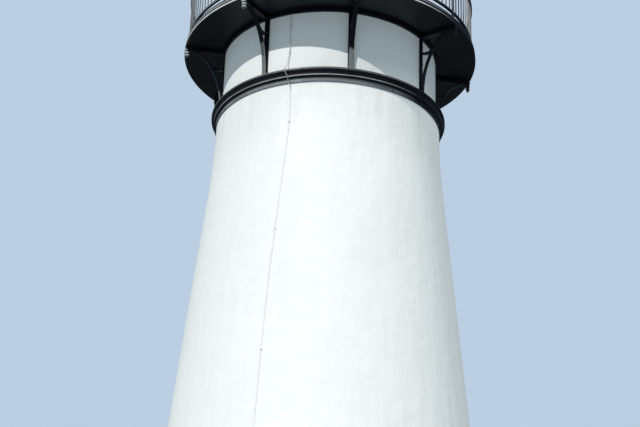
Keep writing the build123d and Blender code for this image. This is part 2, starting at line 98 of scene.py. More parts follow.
@named_by_key
class LighthouseSizes(bpy.types.PropertyGroup):
    """The sizes of the finished pieces."""
    base_radius: length(3.17, "Radius of the shaft at the ground")
    neck_radius: length(1.905, "Radius of the shaft under the belt")
    drum_radius: length(1.844, "Radius of the watch room")
    inner_radius: length(1.4, "Radius of the room inside the walls")
    flare_tangent: length(0.55, "Half the height over which the batter eases upright")
    belt_cap: length(0.06, "How deep the belt's top overlaps the watch room's foot")
    wall_wave: length(0.004, "Depth of the slow waves in the stucco")
    belt_reach: length(0.095, "How far the belt stands out from the neck")
    belt_nose: length(0.012, "Rounding of the belt's top edge")
    belt_face: length(0.026, "Height of the upright face under the nose")
    belt_slope: length(0.008, "Fall of the belt's weathered top")
    belt_rise: length(0.012, "From the casting's foot to the belt's lower edge")
    belt_soffit: length(0.074, "Height of the cove under the face")
    belt_soffit_reach: length(0.047, "How far the cove's foot stands out")
    belt_fillet: length(0.018, "Height of the square fillet under the cove")
    belt_fillet_reach: length(0.009, "How far the fillet stands out from the cove's foot")
    belt_hollow: length(0.03, "Height of the hollow under the fillet")
    belt_lower_reach: length(0.014, "How far the belt's lower band stands out")
    belt_arris: length(0.004, "Rounding of the belt's lowest edge")
    deck_radius: length(2.54, "Radius of the gallery deck")
    deck_inner_radius: length(1.6, "Where the deck plates meet the lantern floor")
    rim_bead: length(0.014, "How far the rim's lower bead stands out")
    rim_bead_height: length(0.033, "Height of the lower bead")
    rim_groove: length(0.03, "Height of the groove between the beads")
    rim_upper_bead: length(0.01, "How far the rim's upper bead stands out")
    rim_upper_height: length(0.03, "Height of the upper bead")
    rim_lip: length(0.018, "Height and width of the lip round the deck's edge")
    leg_width: length(0.098, "Width of a bracket's leg")
    leg_depth: length(0.014, "Depth of a bracket's leg")
    strut_width: length(0.076, "Width of a bracket's curved strut")
    strut_depth: length(0.016, "Depth of a bracket's curved strut")
    strut_foot_depth: length(0.05, "How far the strut's foot stands off the wall")
    strut_foot_height: length(0.098, "Height of the strut's straight foot")
    beam_depth: length(0.06, "Depth of a bracket's beam under the deck")
    tie_drop: length(0.31, "How far the tie lies below the deck")
    tie_sag: length(0.075, "How far the tie dips at its middle")
    tie_thickness: length(0.024, "Thickness of a bracket's tie")
    pendant_inset: length(0.04, "How far a pendant stands in from the deck's edge")
    pendant_drop: length(0.21, "Length of a pendant")
    pendant_radius: length(0.04, "Radius of a pendant's large bulb")
    rail_inset: length(0.07, "How far the railing stands in from the deck's edge")
    bar_size: length(0.016, "Width of a square railing bar")
    post_size: length(0.034, "Width of a railing post")
    rail_width: length(0.04, "Width of the bottom rail")
    rail_thickness: length(0.04, "Thickness of the bottom rail")
    rail_gap: length(0.127, "Height of the bottom rail above the deck")
    handrail_width: length(0.05, "Width of the handrail")
    handrail_thickness: length(0.028, "Thickness of the handrail")
    lantern_apothem: length(1.5, "From the axis to a side of the lantern")
    crown_radius: length(0.23, "Radius of the ventilator's foot plate")
    vent_ball_radius: length(0.215, "Radius of the ventilator's ball")
    vent_neck_radius: length(0.13, "Radius of the ventilator's neck")
    vent_cap_radius: length(0.06, "Radius of the ventilator's cap")
    spindle_radius: length(0.013, "Radius of the lightning spindle")
    rivet_radius: length(0.011, "Radius of a rivet's head")


@named_by_key
class LighthouseColours(bpy.types.PropertyGroup):
    """The colours of the finishes, and the lights."""
    stucco: colour((0.84, 0.84, 0.825), "White paint of the masonry")
    iron: colour((0.003, 0.0033, 0.006), "Black paint of the ironwork")
    tread: colour((0.012, 0.013, 0.015), "Worn paint of the deck")
    rust: colour((0.16, 0.06, 0.025), "Rust where the paint is chipped")
    dust: colour((0.3, 0.28, 0.25), "Dust on what faces up")
    granite: colour((0.46, 0.45, 0.43), "Dressed granite of sills and threshold")
    floor_stone: colour((0.36, 0.35, 0.33), "Slabs inside the tower")
    timber: colour((0.025, 0.032, 0.03), "Dark green paint of door and windows")
    strand: colour((0.3, 0.31, 0.31), "Weathered wire of the conductor")
    copper: colour((0.42, 0.2, 0.1), "Copper of the lightning spindle")
    verdigris: colour((0.16, 0.32, 0.26), "Green bloom on the copper")
    brass: colour((0.5, 0.36, 0.14), "Brass of the door's fittings")
    tarnish: colour((0.2, 0.15, 0.08), "Brown bloom on the brass")
    glass: colour((0.82, 0.9, 0.9), "Tint of the panes")
    # Painted sunlight: a paler grey on the side of the iron that the key light strikes, in place of the sun's
    # sheen on black paint.
    bleached: colour((0.19, 0.192, 0.197), "Chalked iron on the side that the sun strikes")
    # Painted highlight: a near-white grey laid on beads, bands and pendant bulbs where the key light reaches
    # them.
    worn: colour((0.74, 0.75, 0.76), "Bare, salt-bleached metal along edges and bands")
    backdrop: colour((0.5, 0.62, 0.76), "Pale backdrop behind the tower")
    mirrored: colour((0.12, 0.17, 0.24), "The backdrop as glossy paint mirrors it")
    floor: colour((0.5, 0.51, 0.52), "Pale floor of the stage")
    floor_bounce: colour((0.4, 0.44, 0.46), "The floor's tint in the light that it throws up")
    floor_mirrored: colour((0.05, 0.055, 0.06), "The floor as glossy paint mirrors it")
    fill: colour((0.62, 0.86, 1.0), "Tint of the soft light all round")
    fill_strength: strength(0.42, "Strength of the soft light")
    key: colour((1.0, 0.97, 0.93), "Tint of the key and second lights")
    key_strength: strength(2.8, "Strength of the key light")
    key_azimuth: angle(math.radians(-44.0), "Where the key light stands, from the front")
    key_elevation: angle(math.radians(44.3), "Height of the key light")
    key_softness: angle(math.radians(0.7), "Width of the key light, which softens shadows")
    second_strength: strength(1.3, "Strength of the soft second light")
    second_azimuth: angle(math.radians(42.0), "Where the second light stands, from the front")
    second_elevation: angle(math.radians(56.0), "Height of the second light")
    second_softness: angle(math.radians(16.0), "Width of the second light")


def sizes():
    return bpy.context.scene.lighthouse_sizes


def colours():
    return bpy.context.scene.lighthouse_colours


# Node trees

class Graph:
    """A node tree under way, with short calls for the nodes that recur."""

    def __init__(self, tree, place=None):
        self.tree = tree
        self.place = place

    def fill(self, socket, value):
        if isinstance(value, bpy.types.NodeSocket):
            self.tree.links.new(value, socket)
        else:
            socket.default_value = value

    def node(self, kind, settings=None, *values, **named):
        """A node, by default a shader's, with its settings and its sockets filled in order or by name."""
        made = self.tree.nodes.new(kind if "Node" in kind else "ShaderNode" + kind)
        for key, value in (settings or {}).items():
            setattr(made, key, value)
        for socket, value in zip(made.inputs, values):
            self.fill(socket, value)
        for key, value in named.items():
            self.fill(made.inputs[key.replace("_", " ")], value)
        return made

    def maths(self, operation, *values):
        return self.node("Math", {"operation": operation}, *values).outputs[0]

    def times(self, first, *others):
        for value in others:
            first = self.maths("MULTIPLY", first, value)
        return first

    def weighted(self, value, weight, rest):
        """A value times its weight, added to the rest."""
        return self.maths("MULTIPLY_ADD", value, weight, rest)

    def vector(self, operation, *values, output="Vector", **named):
        return self.node("VectorMath", {"operation": operation}, *values, **named).outputs[output]

    def part(self, vector, axis):
        return self.node("SeparateXYZ", None, vector).outputs[axis]

    def ranged(self, value, from_low, from_high, to_low=0.0, to_high=1.0):
        return self.node("MapRange", {"interpolation_type": "SMOOTHSTEP"}, value, from_low, from_high, to_low,
                         to_high).outputs[0]

    def between(self, value, bottom, top, soft=0.002):
        """A mask of the band between two values, with soft edges."""
        above = self.ranged(value, bottom - soft, bottom + soft)
        return self.times(above, self.ranged(value, top + soft, top - soft))

    def noise(self, scale, detail=4.0, roughness=0.55, across=1.0, up=1.0):
        """Noise over the place, drawn out where its scale across differs from its scale up."""
        spot = self.place
        if across != up:
            spot = self.vector("MULTIPLY", spot, (across, across, up))
        return self.node("TexNoise", Vector=spot, Scale=scale, Detail=detail, Roughness=roughness).outputs[0]

    def mix(self, factor, first, second):
        """Two colours mixed by a mask."""
        made = self.node("Mix", {"data_type": "RGBA"}, factor)
        for socket, value in zip(made.inputs[6:8], (first, second)):
            self.fill(socket, value if isinstance(value, bpy.types.NodeSocket) else (*value, 1.0))
        return made.outputs[2]

    def group(self, build, **values):
        """The outputs of a shader group that is placed here."""
        return self.node("Group", {"node_tree": build()}, **{"Vector": self.place, **values}).outputs

    def mask(self, build, **values):
        return self.group(build, **values)["Mask"]

    def patches(self, scale, low=0.4, high=0.65):
        return self.mask(mottle, Scale=scale, Low=low, High=high)

    def over(self, base, tone, mask, amount=1.0):
        """A colour laid over another where a mask lets it."""
        return self.mix(self.times(mask, amount) if amount < 1 else mask, base, tone)


class Finish(Graph):
    """A material under way, on object coordinates."""

    def __init__(self, name, **fixed):
        self.material = bpy.data.materials.new(name)
        self.material.use_nodes = True
        tree = self.material.node_tree
        super().__init__(tree, tree.nodes.new("ShaderNodeTexCoord").outputs["Object"])
        self.sockets = tree.nodes["Principled BSDF"].inputs
        for key, value in fixed.items():
            self.sockets[key.replace("_", " ")].default_value = value

    def skin(self, grain_scale, grain_depth, dent_scale, dent_depth):
        return self.group(skin_relief, Grain_scale=grain_scale, Grain_depth=grain_depth,
                          Dent_scale=dent_scale, Dent_depth=dent_depth)["Height"]

    def surface(self, shade, wear_and_glint, smooth, rough, relief):
        """The shader's colour, its roughness between two values by a mask, and its relief in metres."""
        self.fill(self.sockets["Base Color"], shade)
        self.fill(self.sockets["Roughness"], self.ranged(wear_and_glint, 0.0, 1.0, smooth, rough))
        bump = self.node("Bump", Height=relief, Distance=1.0, Strength=1.0)
        self.fill(self.sockets["Normal"], bump.outputs[0])


def add_sockets(tree, side, **kinds):
    return [tree.interface.new_socket(label.replace("_", " "), in_out=side, socket_type="NodeSocket" + kind)
            for label, kind in kinds.items()]


def shader_group(name, *outputs, **inputs):
    """Turns a function that wires a group's outputs into one that gives the group, built once."""
    def wrap(wire):
        def found():
            if name not in bpy.data.node_groups:
                tree = bpy.data.node_groups.new(name, "ShaderNodeTree")
                add_sockets(tree, "INPUT", Vector="Vector")
                sockets = add_sockets(tree, "INPUT", **dict.fromkeys(inputs, "Float"))
                for socket, default in zip(sockets, inputs.values()):
                    socket.default_value = default
                add_sockets(tree, "OUTPUT", **dict.fromkeys(outputs, "Float"))
                given = tree.nodes.new("NodeGroupInput").outputs
                made = Graph(tree, given["Vector"])
                made.node("NodeGroupOutput", None, *wire(made, given))
            return bpy.data.node_groups[name]
        return found
    return wrap


def material(name, **fixed):
    """Turns a function that finishes a new material into one that gives the material, built once."""
    def wrap(wire):
        def found():
            if name not in bpy.data.materials:
                wire(Finish(name, **fixed), colours())
            return bpy.data.materials[name]
        return found
    return wrap


# Mesh helpers

def shift(x, y, z):
    return Matrix.Translation((x, y, z))


def spin(degrees, axis="Z"):
    return Matrix.Rotation(math.radians(degrees), 4, axis)


def about(middle, half):
    """The limits on both sides of a middle."""
    return middle - half, middle + half


def bend(centre, across, up, first, last, steps=8):
    """Points along a round of a moulding, between two angles in degrees."""
    turns = [math.radians(first + (last - first) * step / steps) for step in range(steps + 1)]
    return [(centre[0] + across * math.cos(turn), centre[1] + up * math.sin(turn)) for turn in turns]


def smooth_line(points, steps=5):
    """A soft curve through points in radius and height."""
    padded = [points[0], *points, points[-1]]
    line = []
    for a, b, c, d in zip(padded, padded[1:], padded[2:], padded[3:]):
        for step in range(steps):
            t = step / steps
            line.append(tuple(
                0.5 * (2 * q + (r - p) * t + (2 * p - 5 * q + 4 * r - s) * t * t
                       + (3 * q - p - 3 * r + s) * t ** 3) for p, q, r, s in zip(a, b, c, d)))
    return [*line, points[-1]]


def spaced(points, spacing):
    """The same outline with no stretch longer than the spacing."""
    line = []
    for first, last in zip(points, points[1:]):
        count = max(1, math.ceil(math.dist(first, last) / spacing))
        line += [tuple(p + (q - p) * step / count for p, q in zip(first, last)) for step in range(count)]
    return [*line, points[-1]]


def lathe(profile, steps=ROUND_STEPS, arc=360.0, mitre=0.0):
    """A closed outline in radius and height turned about the axis, centred on +X when it is an arc."""
    bm = bmesh.new()
    whole = arc >= 360
    rings = steps if whole else steps + 1
    turns = [math.radians(arc * index / steps - (0 if whole else arc / 2)) for index in range(rings)]
    rows = [[bm.verts.new((r * math.cos(turn), r * math.sin(turn), z)) for r, z in profile] for turn in turns]
    for index in range(steps):
        near, far = rows[index], rows[(index + 1) % rings]
        for step in range(len(profile)):
            after = (step + 1) % len(profile)
            bm.faces.new((near[step], far[step], far[after], near[after]))
    if not whole:
        caps = [bm.faces.new(rows[0]), bm.faces.new(rows[-1])]
        if mitre:
            edges = list({edge for cap in caps for edge in cap.edges})
            bmesh.ops.bevel(bm, geom=edges, offset=mitre, segments=1, affect="EDGES")
    bmesh.ops.remove_doubles(bm, verts=bm.verts, dist=1e-6)
    bmesh.ops.recalc_face_normals(bm, faces=bm.faces)
    return bm


def bridge(bm, rows):
    """Faces between neighbouring closed rows of points."""
    for lower, upper in zip(rows, rows[1:]):
        for index in range(len(lower)):
            after = (index + 1) % len(lower)
            bm.faces.new((lower[index], lower[after], upper[after], upper[index]))


def turned_piece(profile, sides=32):
    """A turned piece on its own axis, from radius and height pairs, with closed ends."""
    bm = bmesh.new()
    turns = [2 * math.pi * index / sides for index in range(sides)]
    rows = [[bm.verts.new((radius * math.cos(turn), radius * math.sin(turn), height)) for turn in turns]
            for radius, height in profile]
    bridge(bm, rows)
    bm.faces.new(rows[0][::-1])
    bm.faces.new(rows[-1])
    return bm


def round_edges(bm, rounding, segments=2, sharpest=math.radians(25)):
    edges = [edge for edge in bm.edges if edge.is_manifold and edge.calc_face_angle() > sharpest]
    bmesh.ops.bevel(bm, geom=edges, offset=rounding, segments=segments, profile=0.5, affect="EDGES",
                    clamp_overlap=True)


def plate(outline, width, rounding):
    """An outline in radius and height made as thick as the width, with rounded edges."""
    bm = bmesh.new()
    rows = [[bm.verts.new((r, y, z)) for r, z in outline] for y in about(0, width / 2)]
    for row in rows:
        bm.faces.new(row)
    bridge(bm, rows)
    bmesh.ops.recalc_face_normals(bm, faces=bm.faces)
    round_edges(bm, rounding)
    return bm


def bar(x_range, y_range, z_range, rounding=0.003, segments=2):
    """A bar between two limits on each axis, with rounded edges."""
    bm = bmesh.new()
    ranges = (x_range, y_range, z_range)
    scales = [upper - lower for lower, upper in ranges]
    middle = [(upper + lower) / 2 for lower, upper in ranges]
    bmesh.ops.create_cube(bm, size=1.0, matrix=shift(*middle) @ Matrix.Diagonal((*scales, 1)))
    round_edges(bm, rounding, segments)
    return bm


def refined(name, rounding, segments=2):
    """A merged copy of a construction node with its edges rounded."""
    bm = bmesh.new()
    bm.from_mesh(NODES[name].data)
    bmesh.ops.remove_doubles(bm, verts=bm.verts, dist=1e-5)
    bmesh.ops.dissolve_limit(bm, angle_limit=math.radians(0.5), verts=bm.verts, edges=bm.edges)
    round_edges(bm, rounding, segments)
    return bm


def moved(bm, matrix):
    bmesh.ops.transform(bm, matrix=matrix, verts=bm.verts)
    return bm


def to_mesh(bm):
    mesh = bpy.data.meshes.new("work")
    bm.to_mesh(mesh)
    bm.free()
    return mesh


def joined(*pieces):
    """Several meshes as one."""
    whole = bmesh.new()
    for bm in pieces:
        mesh = to_mesh(bm)
        whole.from_mesh(mesh)
        bpy.data.meshes.remove(mesh)
    return whole


def rivet(radius, height, sides=8):
    """A low domed head that stands on the ground plane."""
    return turned_piece([(radius, 0), (radius * 0.8, height * 0.6), (radius * 0.35, height)], sides)


def hex_bolt(radius, height):
    """A six-sided bolt head with a chamfered top."""
    return turned_piece([(radius, 0), (radius, height * 0.8), (radius * 0.85, height)], 6)


def hinge_pin(radius, height, bevel=0.003):
    inner = radius - 0.002
    return turned_piece([(inner, 0), (radius, bevel), (radius, height - bevel), (inner, height)], 16)


def outward(distance, height, across=0.0):
    """Stands a head on a face that looks along +X."""
    return shift(distance, across, height) @ spin(90, "Y")


def placed(name, data):
    """A new object in the scene."""
    made = bpy.data.objects.new(name, data)
    bpy.context.scene.collection.objects.link(made)
    return made


def evaluated_mesh(made):
    """An object's mesh with its modifiers applied."""
    bpy.context.view_layer.update()
    return bpy.data.meshes.new_from_object(made.evaluated_get(bpy.context.evaluated_depsgraph_get()))


def repeat_tree():
    """Geometry nodes: copies of a piece in a row, each turned about the upright by a further step."""
    name = "Repeated copies"
    if name in bpy.data.node_groups:
        return bpy.data.node_groups[name]
    tree = bpy.data.node_groups.new(name, "GeometryNodeTree")
    add_sockets(tree, "OUTPUT", Geometry="Geometry")
    add_sockets(tree, "INPUT", Piece="Geometry", Count="Int", Step="Vector", First_turn="Float", Turn="Float",
                Finish="Material")
    graph, given = Graph(tree), tree.nodes.new("NodeGroupInput").outputs
    index = graph.node("GeometryNodeInputIndex").outputs[0]
    turn = graph.node("CombineXYZ", Z=graph.weighted(index, given["Turn"], given["First turn"]))
    points = graph.node("GeometryNodePoints", Count=given["Count"],
                        Position=graph.vector("SCALE", given["Step"], Scale=index))
    copies = graph.node("GeometryNodeInstanceOnPoints", Points=points.outputs[0], Instance=given["Piece"],
                        Rotation=turn.outputs[0])
    real = graph.node("GeometryNodeRealizeInstances", Geometry=copies.outputs[0])
    done = graph.node("GeometryNodeSetMaterial", Geometry=real.outputs[0], Material=given["Finish"])
    graph.node("NodeGroupOutput", None, done.outputs[0])
    return tree


def repeated(bm, finish, count, turn=0.0, first=0.0, step=(0, 0, 0)):
    """Copies of a piece, turned about the axis or set in a row, as one mesh."""
    holder = placed("repeat work", to_mesh(bm))
    modifier = holder.modifiers.new("Copies", "NODES")
    modifier.node_group = repeat_tree()
    values = {"Count": count, "Step": step, "First turn": math.radians(first), "Turn": math.radians(turn),
              "Finish": finish}
    for item in modifier.node_group.interface.items_tree:
        if item.name in values:
            modifier[item.identifier] = values[item.name]
    mesh = evaluated_mesh(holder)
    bpy.data.objects.remove(holder)
    result = bmesh.new()
    result.from_mesh(mesh)
    bpy.data.meshes.remove(mesh)
    return result


def all_round(bm, finish, count=BAY_COUNT, azimuth=0.0):
    """A piece drawn along +X, repeated evenly round the tower from an azimuth."""
    return repeated(bm, finish, count, turn=360 / count, first=azimuth - 90)


def castings(outline, radius, steps, mitre, finish, azimuth=0.0):
    """A moulded ring cast in bays, with a gap between them that is measured at a radius."""
    arc = BAY_ANGLE - math.degrees(CASTING_GAP / radius)
    return all_round(lathe(outline, steps, arc, mitre), finish, azimuth=azimuth)


def shade(mesh, sharpest):
    """Smooth shading, but for edges sharper than an angle in degrees."""
    mesh.shade_smooth()
    mesh.set_sharp_from_angle(angle=math.radians(sharpest))


def piece(name, bm, finish, slot, *nodes, smooth=30.0):
    """A finished piece: its mesh, finish, place in the frame and the nodes that it stands for."""
    mesh = to_mesh(bm)
    mesh.name = name
    mesh.materials.clear()
    mesh.materials.append(finish)
    shade(mesh, smooth)
    made = placed(name, mesh)
    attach(made, "root")
    if nodes:
        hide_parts(*nodes)
    return made


def numbered(stem):
    return ["%s_%d" % (stem, index + 1) for index in range(BAY_COUNT)]


def dress(node, finish):
    """Give a construction node that stays in view its finish."""
    slots = NODES[node].data.materials
    slots.clear()
    slots.append(finish)


# Shader groups

@shader_group("Mottle", "Mask", Scale=1.0, Low=0.4, High=0.65)
def mottle(made, given):
    """Soft patches, from two sizes of noise."""
    broad = made.noise(given["Scale"], 3.0)
    finer = made.noise(made.times(given["Scale"], 4.7))
    mixed = made.weighted(finer, 0.35, made.times(broad, 0.65))
    return [made.ranged(mixed, given["Low"], given["High"])]


@shader_group("Rain streaks", "Mask", Scale=8.0, Low=0.5, High=0.8)
def streaks(made, given):
    """Long upright runs, as rain leaves them."""
    runs = made.noise(given["Scale"], 5.0, 0.6, up=0.06)
    mixed = made.weighted(made.noise(1.3, 3.0), 0.25, made.times(runs, 0.75))
    return [made.ranged(mixed, given["Low"], given["High"])]


@shader_group("Skin relief", "Height", Grain_scale=90.0, Grain_depth=0.0004, Dent_scale=6.0,
              Dent_depth=0.0008)
def skin_relief(made, given):
    """The relief of a painted or cast surface: a fine grain over slow dents, in metres."""
    grain = made.noise(given["Grain scale"], 6.0, 0.65)
    dents = made.noise(given["Dent scale"], 2.0, 0.5)
    return [made.weighted(grain, given["Grain depth"], made.times(dents, given["Dent depth"]))]


@shader_group("Settled dust", "Mask", Scale=5.0, Amount=0.5)
def settled(made, given):
    """Where dust settles: on what faces up, in patches."""
    normal = made.node("NewGeometry").outputs["Normal"]
    flat = made.ranged(made.part(normal, "Z"), 0.35, 0.95)
    patch = made.ranged(made.noise(given["Scale"], 5.0), 0.3, 0.7, 0.35, 1.0)
    return [made.times(flat, patch, given["Amount"])]


@shader_group("Radius and height", "Radius", "Height")
def whereabouts(made, given):
    """How far a spot stands from the tower's axis, and its height."""
    x, y, z = made.node("SeparateXYZ", None, made.place).outputs
    flat = made.node("CombineXYZ", None, x, y).outputs[0]
    return [made.vector("LENGTH", flat, output="Value"), z]


@shader_group("Sunny side", "Mask", "Out of shade", Scale=4.0)
def painted_sun_mask(made, given):
    """A mask of painted sunlight: on faces turned towards the key light and out of the deck's painted shadow
    from it, in patches.
    """
    size, tint, deck, edge_width = sizes(), colours(), foot_of("gallery_deck"), 0.03
    normal = made.node("NewGeometry").outputs["Normal"]
    key_light_side = heading(tint.key_azimuth, math.radians(25))
    side = made.ranged(made.vector("DOT_PRODUCT", normal, tuple(key_light_side), output="Value"), 0.0, 0.5)
    patch = made.ranged(made.noise(given["Scale"], 5.0), 0.25, 0.7, 0.75, 1.0)
    spot = made.group(whereabouts)
    # Painted shadow of the deck: a spot lies in it when the ray from it towards the key light passes under
    # the deck's edge.
    drop = made.maths("MAXIMUM", made.maths("SUBTRACT", deck, spot["Height"]), 0.0)
    sunward = heading(tint.key_azimuth, 0.0) / math.tan(tint.key_elevation)
    entry = made.vector("ADD", made.place, made.vector("SCALE", tuple(sunward), Scale=drop))
    radius = made.group(whereabouts, Vector=entry)["Radius"]
    clear = made.ranged(radius, size.deck_radius, size.deck_radius + edge_width)
    off_wall = made.maths("GREATER_THAN", spot["Radius"], size.drum_radius + size.leg_depth + 0.004)
    above = made.maths("GREATER_THAN", spot["Height"], deck)
    out_of_deck_shadow = made.maths("MAXIMUM", made.times(clear, off_wall), above)
    return [made.times(side, patch, out_of_deck_shadow), out_of_deck_shadow]


# Materials

@material("White stucco", Specular_IOR_Level=0.35)
def stucco(made, tint):
    """White masonry paint over trowelled stucco, stained under the belt and at the foot."""
    aged, stain, splash = (0.78, 0.78, 0.76), (0.55, 0.54, 0.47), (0.33, 0.34, 0.3)
    belt = foot_of("belt_course")
    patch = made.patches(0.9, 0.42, 0.62)
    runs = made.mask(streaks, Scale=5.0, Low=0.5, High=0.72)
    height = made.part(made.place, "Z")
    below = made.maths("LESS_THAN", height, belt)
    under_belt = made.times(made.ranged(height, belt - 1.6, belt - 0.1), below)
    base = made.over(tint.stucco, aged, patch, 0.35)
    base = made.over(base, stain, made.times(runs, made.weighted(under_belt, 0.3, 0.06)))
    base = made.over(base, splash, made.times(made.ranged(height, 1.4, 0.1), runs), 0.5)
    ripples = made.noise(5.5, 2.0, up=0.12)
    made.surface(base, patch, 0.62, 0.78, made.weighted(ripples, 0.012, made.skin(38.0, 0.0018, 4.0, 0.008)))


def iron_paint(name, base="iron", rust=0.66, dusty=0.14, smooth=0.36, rough=0.56, bleach=1.0, wear_and_glint=None):
    """Black paint on iron: paler where the key light strikes it (painted sunlight), with a painted highlight
    where asked, with dents, dust and chips of rust.
    """
    @material(name, Specular_IOR_Level=0.32)
    def paint(made, tint):
        paint_colour = getattr(tint, base)
        patch = made.patches(3.0, 0.35, 0.7)
        chips = made.patches(9.0, rust, rust + 0.05)
        dust = made.mask(settled, Scale=6.0, Amount=dusty)
        runs = made.mask(streaks, Scale=13.0, Low=0.56, High=0.74)
        sun = made.group(painted_sun_mask)
        tone = made.over(paint_colour, 2.1 * paint_colour, patch, 0.5)
        # Painted sunlight: the paler grey where the key light strikes the iron, out of the deck's painted
        # shadow.
        tone = made.over(tone, tint.bleached, sun["Mask"], bleach)
        tone = made.over(tone, 0.5 * tint.rust, runs, 0.22)
        tone = made.over(tone, tint.rust, chips, 0.7)
        # Painted highlight: a near-white grey on the parts that the given mask picks, where the key light
        # reaches them.
        if wear_and_glint:
            tone = made.over(tone, tint.worn, wear_and_glint(made, sun))
        tone, dull = made.over(tone, tint.dust, dust), made.weighted(patch, 0.6, dust)
        made.surface(tone, dull, smooth, rough, made.skin(160.0, 0.00025, 14.0, 0.0009))
    return paint


def pendant_glint(made, sun):
    """Mask of a painted highlight on the bulbs of the turned pendants under the deck's edge, all round where
    the key light reaches them; the necks stay dark as painted shade.
    """
    size, spot, deck = sizes(), made.group(whereabouts), foot_of("gallery_deck")
    inner = size.deck_radius - size.pendant_inset - 1.2 * size.pendant_radius
    tip = deck - size.pendant_drop + PENDANT_TIP * size.pendant_drop
    bulb = made.maths("DIVIDE", made.maths("SUBTRACT", spot["Height"], tip), PENDANT_BULB * size.pendant_drop)
    hung = made.times(made.maths("LESS_THAN", spot["Height"], deck), made.maths("GREATER_THAN", bulb, 0.0))
    outer = made.maths("GREATER_THAN", spot["Radius"], inner)
    # The necks between bulbs get no highlight: painted shade in the creases.
    round_bulb = made.between(made.maths("FRACT", bulb), 0.2, 0.84, 0.08)
    return made.times(outer, hung, round_bulb, sun["Out of shade"], 0.56)


def rim_glint(made, sun):
    """Mask of a painted highlight on the deck rim's two beads where the key light strikes, the lower one
    brighter, in a broken line.
    """
    size, spot, under = sizes(), made.group(whereabouts), foot_of("gallery_deck")
    edge, bead_top = size.deck_radius - size.rim_bead, under + size.rim_bead_height
    upper_foot = bead_top + size.rim_groove
    proud = made.ranged(spot["Radius"], edge + 0.001, edge + 0.005)
    upper = made.between(spot["Height"], upper_foot, upper_foot + size.rim_upper_height)
    both = made.weighted(upper, 0.6, made.between(spot["Height"], under, bead_top))
    breaks = made.ranged(made.patches(2.6), 0.0, 1.0, 0.85, 1.0)
    return made.times(proud, both, sun["Mask"], breaks)


def belt_glint(made, sun):
    """Mask of a painted highlight on the belt's upright faces where the key light strikes: a little on its
    nose, more on its fillet and its lower band.
    """
    top, face_z, under_z, fillet_z, hollow_z = belt_heights()
    height = made.group(whereabouts)["Height"]
    breaks = made.ranged(made.patches(3.5), 0.0, 1.0, 0.75, 1.0)
    nose = made.times(made.between(height, face_z, top + 0.01), 0.14)
    fillet = made.weighted(made.between(height, fillet_z, under_z), 0.5, nose)
    band = made.weighted(made.ranged(height, hollow_z + 0.004, hollow_z), 0.36, fillet)
    return made.times(band, breaks, sun["Mask"])


# The masks given here lay a painted highlight where the key light falls.
gloss_iron = iron_paint("Black gloss iron", wear_and_glint=pendant_glint)
rim_iron = iron_paint("Rim iron", bleach=0.03, wear_and_glint=rim_glint)
belt_iron = iron_paint("Belt iron", bleach=0.06, wear_and_glint=belt_glint)
# The last number of each finish is its share of painted sunlight.
tread_iron = iron_paint("Deck tread iron", "tread", 0.6, 0.22, 0.45, 0.8, 0.08)
roof_iron = iron_paint("Roof iron", "iron", 0.62, 0.3, 0.36, 0.7, 0.3)
lantern_iron = iron_paint("Lantern iron", "iron", 0.64, 0.16, 0.36, 0.6, 0.22)


@material("Dressed granite", Specular_IOR_Level=0.5)
def granite(made, tint):
    """Dressed granite: grey with pale and dark grains."""
    mica, quartz, grime = (0.07, 0.07, 0.075), (0.7, 0.68, 0.65), (0.2, 0.2, 0.18)
    grain = made.part(made.node("TexVoronoi", Vector=made.place, Scale=140.0).outputs["Color"], "X")
    weather = made.patches(2.2, 0.4, 0.7)
    base = made.over(tint.granite, mica, made.ranged(grain, 0.78, 0.86), 0.75)
    base = made.over(base, quartz, made.ranged(grain, 0.3, 0.12), 0.6)
    base = made.over(base, grime, weather, 0.3)
    made.surface(base, weather, 0.55, 0.8, made.skin(120.0, 0.0009, 9.0, 0.002))


@material("Floor slabs", Specular_IOR_Level=0.4)
def floor_slabs(made, tint):
    """Stone slabs with dark joints."""
    worn, joint = (0.26, 0.25, 0.23), (0.09, 0.088, 0.08)
    slabs = made.node("TexBrick", Vector=made.place, Scale=1.6, Mortar_Size=0.012,
                      Color1=(1, 1, 1, 1), Color2=(0.8, 0.8, 0.8, 1), Mortar=(0, 0, 0, 1))
    tone = made.part(slabs.outputs["Color"], "X")
    patch = made.patches(3.0, 0.35, 0.7)
    base = made.mix(tone, joint, made.over(tint.floor_stone, worn, patch, 0.5))
    made.surface(base, patch, 0.6, 0.85, made.times(tone, 0.003))


@material("Painted timber", Coat_Weight=0.3, Coat_Roughness=0.25, Specular_IOR_Level=0.5)
def painted_timber(made, tint):
    """Dark paint over timber, with the grain showing through along the boards."""
    ridge, faded = (0.05, 0.065, 0.06), (0.11, 0.12, 0.11)
    grain = made.noise(1.0, 6.0, 0.6, across=60.0, up=2.0)
    patch = made.patches(4.0, 0.4, 0.7)
    base = made.over(tint.timber, ridge, grain, 0.5)
    base = made.over(base, faded, patch, 0.25)
    base = made.over(base, tint.dust, made.mask(settled, Scale=7.0, Amount=0.4))
    made.surface(base, patch, 0.32, 0.6, made.times(grain, 0.0008))


def weathered_metal(name, base, bloom, smooth, rough, share):
    """Bare metal with a bloom over part of it."""
    @material(name, Metallic=1.0)
    def metal(made, tint):
        patch = made.patches(12.0, 0.4, 0.62)
        tone = made.over(getattr(tint, base), getattr(tint, bloom), patch, share)
        made.surface(tone, patch, smooth, rough, made.skin(400.0, 0.0001, 60.0, 0.0002))
    return metal


weathered_copper = weathered_metal("Weathered copper", "copper", "verdigris", 0.35, 0.7, 0.85)
aged_brass = weathered_metal("Aged brass", "brass", "tarnish", 0.3, 0.55, 0.6)


